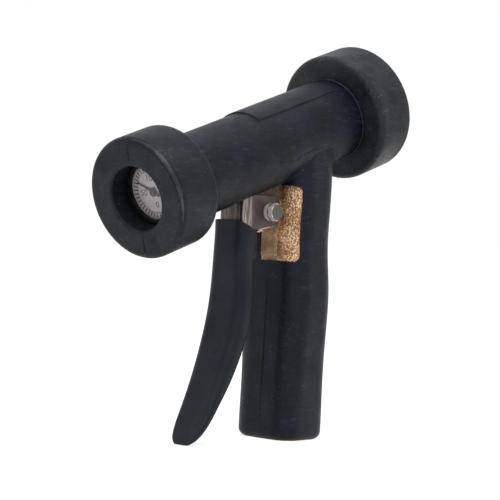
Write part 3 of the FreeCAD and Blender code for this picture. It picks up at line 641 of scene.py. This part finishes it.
# Cover's flare: the handle's front runs into the barrel's underside in a hollow curve, moulded with the
# cover. It goes from one corner of the handle round its front to the other, and thins out at both.
FLARE_RADIUS = 0.01
FLARE_STEPS = 16
FLARE_CURVE = 10
FLARE_SUNK = 0.0004
FLARE_TURN = math.radians(70)
FLARE_END = 0.05
HANDLE_HALF_DEPTH = 0.0155
HANDLE_HALF_WIDTH = 0.0197
HANDLE_CORNER = 0.011


def under_barrel(spot, outward, reach):
    """The place on the barrel's underside, a reach outward of a spot beside it."""
    along = spot + reach * outward
    drop = math.sqrt(COVER_RADIUS**2 - along.y**2) / math.cos(RAKE)
    return Vector((along.x, along.y, AXIS_HEIGHT + along.x * math.tan(RAKE) - drop))


flare_mesh = bmesh.new()
flare_rings = []
for step in range(-FLARE_STEPS, FLARE_STEPS + 1):
    share = max(2 * abs(step) / FLARE_STEPS - 1, 0)
    turn = FLARE_TURN * share
    outward = Vector((math.cos(turn), math.copysign(math.sin(turn), step), 0))
    middle = Vector(
        (
            HANDLE_HALF_DEPTH - HANDLE_CORNER,
            (HANDLE_HALF_WIDTH - HANDLE_CORNER) * max(-1, min(1, 2 * step / FLARE_STEPS)),
            0,
        )
    )
    foot = middle + HANDLE_CORNER * outward
    reach = FLARE_RADIUS * max(math.cos(math.pi / 2 * share), FLARE_END)
    corner = under_barrel(foot, outward, 0)
    far = under_barrel(foot, outward, reach)
    low = corner - Vector((0, 0, reach))
    sunk = Vector((0, 0, FLARE_SUNK))
    outline = [corner - FLARE_SUNK * outward + sunk, low - FLARE_SUNK * outward]
    for count in range(FLARE_CURVE + 1):
        part_way = count / FLARE_CURVE
        outline.append(low.lerp(corner, part_way).lerp(corner.lerp(far, part_way), part_way))
    outline.append(far + sunk)
    corners = [flare_mesh.verts.new(spot) for spot in outline]
    flare_rings.append([flare_mesh.edges.new(pair) for pair in zip(corners, [*corners[1:], corners[0]])])
for before, after in zip(flare_rings, flare_rings[1:]):
    bmesh.ops.bridge_loops(flare_mesh, edges=[*before, *after])
bmesh.ops.holes_fill(flare_mesh, edges=[*flare_rings[0], *flare_rings[-1]])
finished("shoulder_flare", flare_mesh, "gun", cover_rubber)

# Far window web: on the gun's left a dark web of the cover's rubber is laid across the window beside the
# rib as painted shade, so the bronze ends in the dark there. It is a thin skin laid on the casting's own
# face.
WEB_NEAR = 0.0052
WEB_FAR = 0.0125
WEB_BACK = -0.0112
WEB_BOTTOM = 0.0915
WEB_TOP = 0.13
WEB_THICKNESS = 0.00035
WEB_FACING = -0.3
WEB_DEEPEST = -0.018
WEB_MERGE = 1e-6
shade_sheet_mesh = bmesh.new()
shade_sheet_mesh.from_mesh(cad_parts["valve_body"].data)
bmesh.ops.remove_doubles(shade_sheet_mesh, verts=shade_sheet_mesh.verts, dist=WEB_MERGE)
for spot, outward in (
    ((0, WEB_NEAR, 0), (0, -1, 0)),
    ((0, WEB_FAR, 0), (0, 1, 0)),
    ((WEB_BACK, 0, 0), (1, 0, 0)),
    ((0, 0, WEB_BOTTOM), (0, 0, -1)),
    ((0, 0, WEB_TOP), (0, 0, 1)),
):
    bmesh.ops.bisect_plane(
        shade_sheet_mesh,
        geom=[*shade_sheet_mesh.verts, *shade_sheet_mesh.edges, *shade_sheet_mesh.faces],
        plane_co=spot,
        plane_no=outward,
        clear_outer=True,
    )
shade_sheet_mesh.normal_update()
inner_faces = [
    face
    for face in shade_sheet_mesh.faces
    if face.normal.x > WEB_FACING or face.calc_center_median().x < WEB_DEEPEST
]
bmesh.ops.delete(shade_sheet_mesh, geom=inner_faces, context="FACES")
bmesh.ops.solidify(shade_sheet_mesh, geom=shade_sheet_mesh.faces, thickness=-WEB_THICKNESS)
# This dark rubber sheet is painted shade.
finished("far_window_shade_web", shade_sheet_mesh, "gun", cover_rubber)

# Rear bumper: a thick ring of softer black rubber pushed over the barrel's end, with the thermometer
# deep in its mouth. It is the part that hits the floor, so it is scuffed and a little greyer. The mould
# left flash round the edge of its mouth side, and a seam above and below the mouth.
FLASH_PLACE = -0.1213
FLASH_RADIUS = 0.0293
FLASH_THICKNESS = 0.0009
FLASH_ANGLES = (4, 112)
FLASH_STEPS = 60
FACE_PLACE = -0.1221
MOUTH_SEAM = (0.0178, 0.0205, 0.0235, 0.0265)
bumper_rubber = moulded_rubber(
    "moulded_bumper_rubber", "#0f141e", "#1c212a", gloss=0.5, dust=0.8, line=0.7
)
dress(["rear_bumper"], bumper_rubber)
# Flash is thin and torn, and its pale tone is a painted highlight along the edge of the mouth side.
flash_painted_highlight = moulded_rubber(
    "flash_rubber_painted_highlight", "#22242a", "#55575c", gloss=0.4, dust=1, line=0
)
bead(
    "rear_bumper_flash",
    round_barrel(FLASH_PLACE, FLASH_RADIUS, *FLASH_ANGLES, FLASH_STEPS),
    FLASH_THICKNESS,
    "gun",
    flash_painted_highlight,
)
for name, degrees in (("rear_bumper_seam_top", 0), ("rear_bumper_seam_low", 180)):
    seam = [by_barrel(FACE_PLACE, radius, degrees) for radius in MOUTH_SEAM]
    bead(name, seam, SEAM_RADIUS, "gun", bumper_rubber)

# Front bumper: the same rubber, moulded wider and pushed over the barrel's mouth, with a flat back round
# the cover's end. Dust from lying face down has turned it greyer.
front_rubber = moulded_rubber(
    "dusty_front_rubber", "#171a20", "#2e3033", gloss=0.48, dust=1, line=0.7
)
dress(["front_bumper"], front_rubber)

# Brass fittings: the spray nozzle and tip, the disc holder, the packing's follower and nut, and the rear
# cap, turned from bar and screwed in. The lathe leaves fine rings round the axis and a bright, warm face.

# Real lathe rings are about a quarter of this, and are drawn coarser so that they show.
LATHE_RINGS = 0.7
LATHE_STAINS = 4


def turned_metal(name, dull, bright, roughness):
    """A metal turned on a lathe, with rings round the barrel's axis: its two tones and roughness."""
    finish, place = new_finish(name)
    axis = add(
        finish,
        "Mapping",
        {
            "vector_type": "TEXTURE",
            "Vector": (place, "Object"),
            "Location": (0, 0, AXIS_HEIGHT),
            "Rotation": (0, -RAKE, 0),
        },
    )
    rings = add(
        finish,
        "TexWave",
        {
            "wave_type": "RINGS",
            "rings_direction": "X",
            "Vector": (axis, "Vector"),
            "Scale": repeats(LATHE_RINGS) / math.tau,
            "Distortion": 1.5,
            "Detail": 2,
        },
    )
    stains = add(
        finish,
        "TexNoise",
        {"Vector": (axis, "Vector"), "Scale": repeats(LATHE_STAINS), "Detail": 4},
    )
    tone = add(finish, "ValToRGB", {"Fac": (stains, "Fac"), "stops": [(0.3, dull), (0.68, bright)]})
    relief = add(finish, "Bump", {"Height": (rings, "Fac"), "Strength": 0.25, "Distance": 0.00005})
    gloss = add(
        finish,
        "MapRange",
        {
            "Value": (stains, "Fac"),
            "From Min": 0.3,
            "From Max": 0.7,
            "To Min": roughness + 0.12,
            "To Max": roughness - 0.06,
        },
    )
    surface(
        finish,
        {
            "Base Color": (tone, "Color"),
            "Metallic": 1,
            "Roughness": (gloss, "Result"),
            "Normal": (relief, "Normal"),
        },
    )
    return finish


turned_brass = turned_metal("turned_brass", "#9a7a45", "#dcb878", roughness=0.3)
dress(
    ["spray_nozzle", "spray_tip", "disc_holder", "packing_follower", "packing_nut", "rear_cap"],
    turned_brass,
)

# Gasket, valve seat and packing: the soft parts that keep the water in. The gasket and the seat disc
# are plain black rubber cut from sheet, and the packing rings are greased white PTFE cord.
sheet_rubber = moulded_rubber(
    "cut_sheet_rubber", "#202022", "#2c2c2d", gloss=0.62, dust=0.2, line=0
)
dress(["nozzle_gasket", "seat_disc"], sheet_rubber)
packing_cord = mottled(
    "greased_packing_cord",
    size=0.8,
    detail=4,
    stops=[(0.35, "#b9b4a6"), (0.65, "#e6e2d8")],
    settings={"Roughness": 0.5},
    relief=(0.5, 0.0002),
)
dress(["packing_ring_1", "packing_ring_2", "packing_ring_3"], packing_cord)

# Valve stem, push collar and lock nut: ground stainless rod with a collar and nut on its thread, which
# the lever's fork pushes to the rear. Grinding leaves a fine satin shine.
ground_stainless = turned_metal("ground_stainless", "#8e8c88", "#c4c2bd", roughness=0.26)
dress(["valve_stem", "stem_collar", "lock_nut"], ground_stainless)

# Return spring: hard-drawn stainless wire coiled round the probe, with a dull drawn skin. Its front end
# goes back with the collar when the lever is squeezed; here the coil is a copy of the spring's solid with
# a mesh of its own.
spring_wire = turned_metal("drawn_spring_wire", "#6f6e6b", "#a9a8a4", roughness=0.36)
dress(["return_spring"], spring_wire)
coil_mesh = bmesh.new()
coil_mesh.from_mesh(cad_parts["return_spring"].data)
closing_coil = finished("closing_coil", coil_mesh, "gun", spring_wire)
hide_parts("return_spring")
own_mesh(closing_coil)

# Thermometer: a small bimetal dial of enamelled sheet in a steel case, with a ground probe down the
# hollow stem. The case and its bezel are painted dark as painted shade, so only the dial shows in the
# bumper's mouth.
dress(["thermometer_probe"], ground_stainless)
dial_white = mottled(
    "enamelled_dial_white",
    size=1.6,
    detail=5,
    stops=[(0.3, "#e9dce2"), (0.6, "#fbeff4")],
    settings={"Roughness": 0.45},
)
dress(["dial_plate"], dial_white)
# Painted shade: the steel bezel and case get a dark tone.
bezel_painted_shade = turned_metal("bezel_steel_painted_shade", "#1c1c1f", "#39393c", roughness=0.42)
dress(["dial_bezel", "thermometer_case"], bezel_painted_shade)

# Dial print: the scale in dark ink on the plate, from 0 to 150 with a tick every five and a number
# every fifty, as any hot-water thermometer has. The ink is worn thin in places.
DIAL_PLANE = -0.10902
SCALE_START = -98
SCALE_STEPS = 30
SCALE_PER_STEP = 5
DEGREES_PER_STEP = 9
STEPS_PER_NUMBER = 10
TICK_INNER = 0.0107
TICK_OUTER = 0.0129
TICK_WIDTH = 0.00055
SCALE_RING = (0.0103, 0.0105)
RING_STEPS = 96
NUMBER_RING = 0.0066
NUMBER_HEIGHT = 0.003
FIGURE_SHARE = 0.7
PRINT_HALF_DEPTH = 0.00001
# The dial's own frame: across to its right as read from the rear, up it, and out of its face.
on_dial = on_barrel @ Matrix(
    ((0, 0, -1, DIAL_PLANE), (-1, 0, 0, 0), (0, 1, 0, 0), (0, 0, 0, 1))
)


def scale_turn(step):
    """The angle of a step of the scale, from the dial's right."""
    return math.radians(180 - SCALE_START - DEGREES_PER_STEP * step)


print_mesh = bmesh.new()
ring_edge = [print_mesh.verts.new((radius, 0, PRINT_HALF_DEPTH)) for radius in SCALE_RING]
bmesh.ops.spin(
    print_mesh,
    geom=[*ring_edge, print_mesh.edges.new(ring_edge)],
    axis=(0, 0, 1),
    cent=(0, 0, 0),
    angle=math.tau,
    steps=RING_STEPS,
    use_merge=True,
)
for step in range(SCALE_STEPS + 1):
    tick = bmesh.ops.create_grid(print_mesh, x_segments=1, y_segments=1, size=0.5)["verts"]
    bmesh.ops.scale(print_mesh, verts=tick, vec=(TICK_OUTER - TICK_INNER, TICK_WIDTH, 1))
    bmesh.ops.translate(
        print_mesh,
        verts=tick,
        vec=((TICK_OUTER + TICK_INNER) / 2, 0, PRINT_HALF_DEPTH),
    )
    turned = Matrix.Rotation(scale_turn(step), 3, "Z")
    bmesh.ops.rotate(print_mesh, verts=tick, cent=(0, 0, 0), matrix=turned)
for step in range(0, SCALE_STEPS + 1, STEPS_PER_NUMBER):
    figures = bpy.data.curves.new("dial_number", "FONT")
    figures.body = str(SCALE_PER_STEP * step)
    figures.size = NUMBER_HEIGHT / FIGURE_SHARE
    figures.align_x = "CENTER"
    figures.align_y = "CENTER"
    holder = bpy.data.objects.new("dial_number", figures)
    number = bpy.data.meshes.new_from_object(holder)
    bpy.data.objects.remove(holder)
    turn = scale_turn(step)
    spot = (NUMBER_RING * math.cos(turn), NUMBER_RING * math.sin(turn), PRINT_HALF_DEPTH)
    number.transform(Matrix.Translation(spot))
    print_mesh.from_mesh(number)
    bpy.data.meshes.remove(number)
bmesh.ops.triangulate(print_mesh, faces=print_mesh.faces)
bmesh.ops.solidify(print_mesh, geom=print_mesh.faces, thickness=PRINT_HALF_DEPTH)
bmesh.ops.transform(print_mesh, matrix=on_dial, verts=print_mesh.verts)
dial_ink = mottled(
    "screen_printed_ink",
    size=0.7,
    detail=4,
    stops=[(0.4, "#19181a"), (0.75, "#4a484c")],
    settings={"Roughness": 0.5},
)
finished("dial_print", print_mesh, "gun", dial_ink, smooth=False)

# Pointer and hub: a black lacquered strip of thin brass, riveted to the hub on the thermometer's
# spindle. Dust dulls the lacquer in spots.
pointer_lacquer = mottled(
    "black_pointer_lacquer",
    size=0.9,
    detail=3,
    stops=[(0.4, "#141416"), (0.75, "#3a393c")],
    settings={"Roughness": 0.35},
)
dress(["pointer", "pointer_hub"], pointer_lacquer)

# Dial lens: a disc of clear glass that the bezel holds over the dial. It is dusty from the workshop, and
# mirrors the room towards its edge.
LENS_DUST = 2.4
lens_glass, place = new_finish("dusty_lens_glass")
lens_dust = add(
    lens_glass,
    "TexNoise",
    {"Vector": (place, "Object"), "Scale": repeats(LENS_DUST), "Detail": 6},
)
dust_share = add(
    lens_glass,
    "MapRange",
    {"Value": (lens_dust, "Fac"), "From Min": 0.45, "From Max": 0.8, "To Min": 0, "To Max": 0.08},
)
lens_clear = add(lens_glass, "BsdfTransparent", {})
lens_shine = add(lens_glass, "BsdfGlossy", {"Roughness": 0.05})
lens_powder = add(lens_glass, "BsdfDiffuse", {"Color": paint("#b9b6b4")})
# Only the outer side of each face mirrors, so that the glass doesn't mirror twice.
lens_angle = add(lens_glass, "Fresnel", {"IOR": 1.5})
lens_side = add(lens_glass, "NewGeometry", {})
lens_outside = add(
    lens_glass,
    "MapRange",
    {"Value": (lens_side, "Backfacing"), "To Min": 1, "To Max": 0},
)
lens_mirror = add(
    lens_glass,
    "Math",
    {"operation": "MULTIPLY", 0: (lens_angle, "Fac"), 1: (lens_outside, "Result")},
)
lens_face = add(
    lens_glass,
    "MixShader",
    {0: (lens_mirror, "Value"), 1: (lens_clear, "BSDF"), 2: (lens_shine, "BSDF")},
)
lens_dusty = add(
    lens_glass,
    "MixShader",
    {0: (dust_share, "Result"), 1: (lens_face, "Shader"), 2: (lens_powder, "BSDF")},
)
add(lens_glass, "OutputMaterial", {"Surface": (lens_dusty, "Shader")})
dress(["dial_lens"], lens_glass)

# Lever: stainless strip folded to a channel round the lug, with a fork above and a tang below. It is
# brushed along its length. Its dark brownish tone is a painted reflection of the dark hollow it faces,
# and the bends carry a painted highlight.

# Real brush lines are a tenth of this width, and are drawn coarser so that they show.
BRUSH_WIDTH = 1
BRUSH_LENGTH = 24
STEEL_SOIL = 6
STEEL_EDGE = 0.0004
BEND_START = -0.0425
BEND_END = -0.0395
WEB_FACE = -0.0465
WEB_CORNER = -0.0461
brushed_stainless, place = new_finish("brushed_stainless")
brush_line = add(
    brushed_stainless,
    "Mapping",
    {
        "Vector": (place, "Object"),
        "Scale": (repeats(BRUSH_WIDTH), repeats(BRUSH_WIDTH), repeats(BRUSH_LENGTH)),
    },
)
brushing = add(
    brushed_stainless,
    "TexNoise",
    {"Vector": (brush_line, "Vector"), "Scale": 1, "Detail": 4, "Roughness": 0.6},
)
soil = add(
    brushed_stainless,
    "TexNoise",
    {"Vector": (place, "Object"), "Scale": repeats(STEEL_SOIL), "Detail": 4},
)
# The dark brownish tone is a painted reflection of the dark surroundings that the lever faces.
steel_painted_reflection_tone = add(
    brushed_stainless,
    "ValToRGB",
    {"Fac": (soil, "Fac"), "stops": [(0.3, "#4b4340"), (0.55, "#5b5250"), (0.75, "#6c6360")]},
)
steel_spot = add(brushed_stainless, "SeparateXYZ", {"Vector": (place, "Object")})
# Painted highlight: bright brushed streaks on the bends, laid by place along the gun.
bend_highlight_share = add(
    brushed_stainless,
    "MapRange",
    {
        "Value": (steel_spot, "X"),
        "From Min": BEND_START,
        "From Max": BEND_END,
        "To Min": 1,
        "To Max": 0,
    },
)
bend_highlight_lines = add(
    brushed_stainless,
    "ValToRGB",
    {"Fac": (brushing, "Fac"), "stops": [(0.46, "#000000"), (0.6, "#ffffff")]},
)
# The painted highlight leaves out the channel's flat back and lies only on the bends.
off_web = add(
    brushed_stainless,
    "MapRange",
    {
        "Value": (steel_spot, "X"),
        "From Min": WEB_FACE,
        "From Max": WEB_CORNER,
        "To Min": 0.25,
        "To Max": 1,
    },
)
bend_highlight_place = add(
    brushed_stainless,
    "Math",
    {"operation": "MULTIPLY", 0: (bend_highlight_share, "Result"), 1: (off_web, "Result")},
)
bend_painted_highlight = add(
    brushed_stainless,
    "Math",
    {"operation": "MULTIPLY", 0: (bend_highlight_place, "Value"), 1: (bend_highlight_lines, "Color")},
)
steel_with_painted_light = add(
    brushed_stainless,
    "Mix",
    {
        "data_type": "RGBA",
        SHARE: (bend_painted_highlight, "Value"),
        UNDER: (steel_painted_reflection_tone, "Color"),
        OVER: paint("#a9a39b"),
    },
)
brush_edge = add(brushed_stainless, "Bevel", {"Radius": STEEL_EDGE, "samples": BEVEL_RAYS})
brush_relief = add(
    brushed_stainless,
    "Bump",
    {
        "Height": (brushing, "Fac"),
        "Strength": 0.14,
        "Distance": 0.0001,
        "Normal": (brush_edge, "Normal"),
    },
)
brush_gloss = add(
    brushed_stainless,
    "MapRange",
    {"Value": (brushing, "Fac"), "From Min": 0.3, "From Max": 0.7, "To Min": 0.34, "To Max": 0.5},
)
surface(
    brushed_stainless,
    {
        "Base Color": (steel_with_painted_light, MIXED),
        "Metallic": 1,
        "Roughness": (brush_gloss, "Result"),
        "Normal": (brush_relief, "Normal"),
    },
)
dress(["lever"], brushed_stainless)

# Lever's burr: the shear rolled a torn burr of the strip's own stainless along the near cheek's lower
# edge, with a curl of metal at its rear. Its pale tone is partly a painted highlight where the edge
# catches the light.
BURR_OUT = -0.0088
# Each one's radius, and its places along the gun with their heights.
CHEEK_BURRS = {
    "cheek_burr": (
        0.0004,
        [(-0.0352, 0.1075), (-0.0325, 0.1079), (-0.0295, 0.1084), (-0.0265, 0.1089), (-0.0225, 0.1096)],
    ),
    "cheek_curl": (
        0.0006,
        [(-0.0362, 0.1062), (-0.0345, 0.1066), (-0.033, 0.1071), (-0.0312, 0.1077)],
    ),
}
burr_painted_highlight = mottled(
    "burr_steel_painted_highlight",
    size=0.9,
    detail=4,
    stops=[(0.38, "#a8927a"), (0.6, "#f4ead8")],
    settings={"Metallic": 0.5, "Roughness": 0.4},
    relief=(0.6, 0.0002),
)
for name, (radius, places) in CHEEK_BURRS.items():
    spots = [Vector((along, BURR_OUT, height)) for along, height in places]
    bead(name, spots, radius, "lever", burr_painted_highlight)

# Lever sleeve: a thick black rubber grip moulded on the lever's tang, smooth and a little polished by
# hands, so that hardly any dust clings to it.
sleeve_rubber = moulded_rubber(
    "hand_polished_rubber", "#111622", "#1a1f2b", gloss=0.44, dust=0.15, line=0
)
dress(["lever_grip"], sleeve_rubber)

# Pivot: a sintered bronze bushing in the lug, and a bright zinc-plated bolt, split washer and nut that
# clamp the lever's cheeks.
HEAD_FACE = -0.0143
JOINT_PLACE = -0.0113
JOINT_WIDTH = 0.00025
PLATE_SCUFFS = 1.2
PLATE_EDGE = 0.0003
dress(["pivot_bushing"], turned_brass)
plated_steel, place = new_finish("plated_bolt_steel")
plate_scuffs = add(
    plated_steel,
    "TexNoise",
    {"Vector": (place, "Object"), "Scale": repeats(PLATE_SCUFFS), "Detail": 5},
)
plate_tone = add(
    plated_steel,
    "ValToRGB",
    {"Fac": (plate_scuffs, "Fac"), "stops": [(0.3, "#e2dbd0"), (0.55, "#fffaf0")]},
)
# Zinc stays bright on the head's sides, and the wrench and floors have worn its end face dull.
plate_spot = add(plated_steel, "SeparateXYZ", {"Vector": (place, "Object")})
end_face = add(plated_steel, "Math", {"operation": "LESS_THAN", 0: (plate_spot, "Y"), 1: HEAD_FACE})
worn_plate = add(
    plated_steel,
    "Mix",
    {
        "data_type": "RGBA",
        SHARE: (end_face, "Value"),
        UNDER: (plate_tone, "Color"),
        OVER: paint("#605a54"),
    },
)
# A painted shadow darkens the joint between the head and the washer.
off_joint = add(plated_steel, "Math", {"operation": "SUBTRACT", 0: (plate_spot, "Y"), 1: JOINT_PLACE})
from_joint = add(plated_steel, "Math", {"operation": "ABSOLUTE", 0: (off_joint, "Value")})
joint_painted_shadow = add(
    plated_steel,
    "MapRange",
    {"Value": (from_joint, "Value"), "From Max": JOINT_WIDTH, "To Min": 1, "To Max": 0},
)
plate_with_joint_shadow = add(
    plated_steel,
    "Mix",
    {
        "data_type": "RGBA",
        SHARE: (joint_painted_shadow, "Result"),
        UNDER: (worn_plate, MIXED),
        OVER: paint("#14110f"),
    },
)
plate_edge = add(plated_steel, "Bevel", {"Radius": PLATE_EDGE, "samples": BEVEL_RAYS})
plate_relief = add(
    plated_steel,
    "Bump",
    {
        "Height": (plate_scuffs, "Fac"),
        "Strength": 0.3,
        "Distance": 0.0001,
        "Normal": (plate_edge, "Normal"),
    },
)
surface(
    plated_steel,
    {
        "Base Color": (plate_with_joint_shadow, MIXED),
        "Metallic": 0.15,
        "Roughness": 0.24,
        "Normal": (plate_relief, "Normal"),
    },
)
dress(["pivot_bolt", "pivot_nut", "lock_washer"], plated_steel)

# Studio: a plain pale floor, white air all round and one large soft lamp overhead. White reaches the
# camera, the metal and the glass at strength one, and the object gets a plain level of light.
FLOOR_SIZE = 12
FLOOR_SHOWN = 0.8
FLOOR_DROP = 0.0001
AIR_LEVEL = 0.38
LAMP_SIZE = 1.2
LAMP_POWER = 11
LAMP_PLACE = Vector((-0.45, -0.35, 1.25))
LAMP_AIM = Vector((0, 0, 0.12))


def sees_white(finish):
    """Which rays see the studio's white: the camera's, and those that metal or glass send on."""
    rays = add(finish, "LightPath", {})
    seen = add(
        finish,
        "Math",
        {"operation": "MAXIMUM", 0: (rays, "Is Camera Ray"), 1: (rays, "Is Glossy Ray")},
    )
    return add(
        finish,
        "Math",
        {"operation": "MAXIMUM", 0: (seen, "Value"), 1: (rays, "Is Transmission Ray")},
    )


floor_mesh = bmesh.new()
bmesh.ops.create_grid(floor_mesh, x_segments=1, y_segments=1, size=FLOOR_SIZE / 2)
floor_data = bpy.data.meshes.new("studio_floor")
floor_mesh.to_mesh(floor_data)
floor_mesh.free()
studio_floor = shown("studio_floor", floor_data)
studio_floor.location.z = -FLOOR_DROP
pale_floor = new_finish("pale_floor")[0]
floor_bare = add(pale_floor, "BsdfDiffuse", {"Color": paint("#d8d8d8")})
floor_white = add(pale_floor, "Emission", {"Strength": FLOOR_SHOWN})
floor_lit = add(pale_floor, "AddShader", {0: (floor_bare, "BSDF"), 1: (floor_white, "Emission")})
floor_shown = add(
    pale_floor,
    "MixShader",
    {0: (sees_white(pale_floor), "Value"), 1: (floor_bare, "BSDF"), 2: (floor_lit, "Shader")},
)
add(pale_floor, "OutputMaterial", {"Surface": (floor_shown, "Shader")})
wear(studio_floor, pale_floor)

air = bpy.data.worlds.new("studio_air")
air.use_nodes = True
air.node_tree.nodes.clear()
bpy.context.scene.world = air
air_light = add(air, "Background", {"Color": paint("#ffffff"), "Strength": AIR_LEVEL})
air_white = add(air, "Background", {"Color": paint("#ffffff"), "Strength": 1})
air_shown = add(
    air,
    "MixShader",
    {0: (sees_white(air), "Value"), 1: (air_light, "Background"), 2: (air_white, "Background")},
)
add(air, "OutputWorld", {"Surface": (air_shown, "Shader")})

lamp_data = bpy.data.lights.new("soft_lamp", "AREA")
lamp_data.shape = "SQUARE"
lamp_data.size = LAMP_SIZE
lamp_data.energy = LAMP_POWER
soft_lamp = shown("soft_lamp", lamp_data)
soft_lamp.location = LAMP_PLACE
soft_lamp.rotation_euler = (LAMP_AIM - LAMP_PLACE).to_track_quat("-Z", "Y").to_euler()

# Camera: a long lens from behind and to the gun's right, level with the lever's pivot, as in the
# photograph.
CAMERA_SENSOR = 36
CAMERA_LENS = 140.943
CAMERA_PLACE = (-0.786008, -0.643233, 0.121492)
CAMERA_TURN = (88.5675, -2.8978, -49.5094)
camera_data = bpy.data.cameras.new("studio_camera")
camera_data.sensor_width = CAMERA_SENSOR
camera_data.lens = CAMERA_LENS
studio_camera = shown("studio_camera", camera_data)
studio_camera.location = CAMERA_PLACE
studio_camera.rotation_euler = [math.radians(turn) for turn in CAMERA_TURN]
bpy.context.scene.camera = studio_camera
bpy.context.scene.view_settings.view_transform = "Standard"
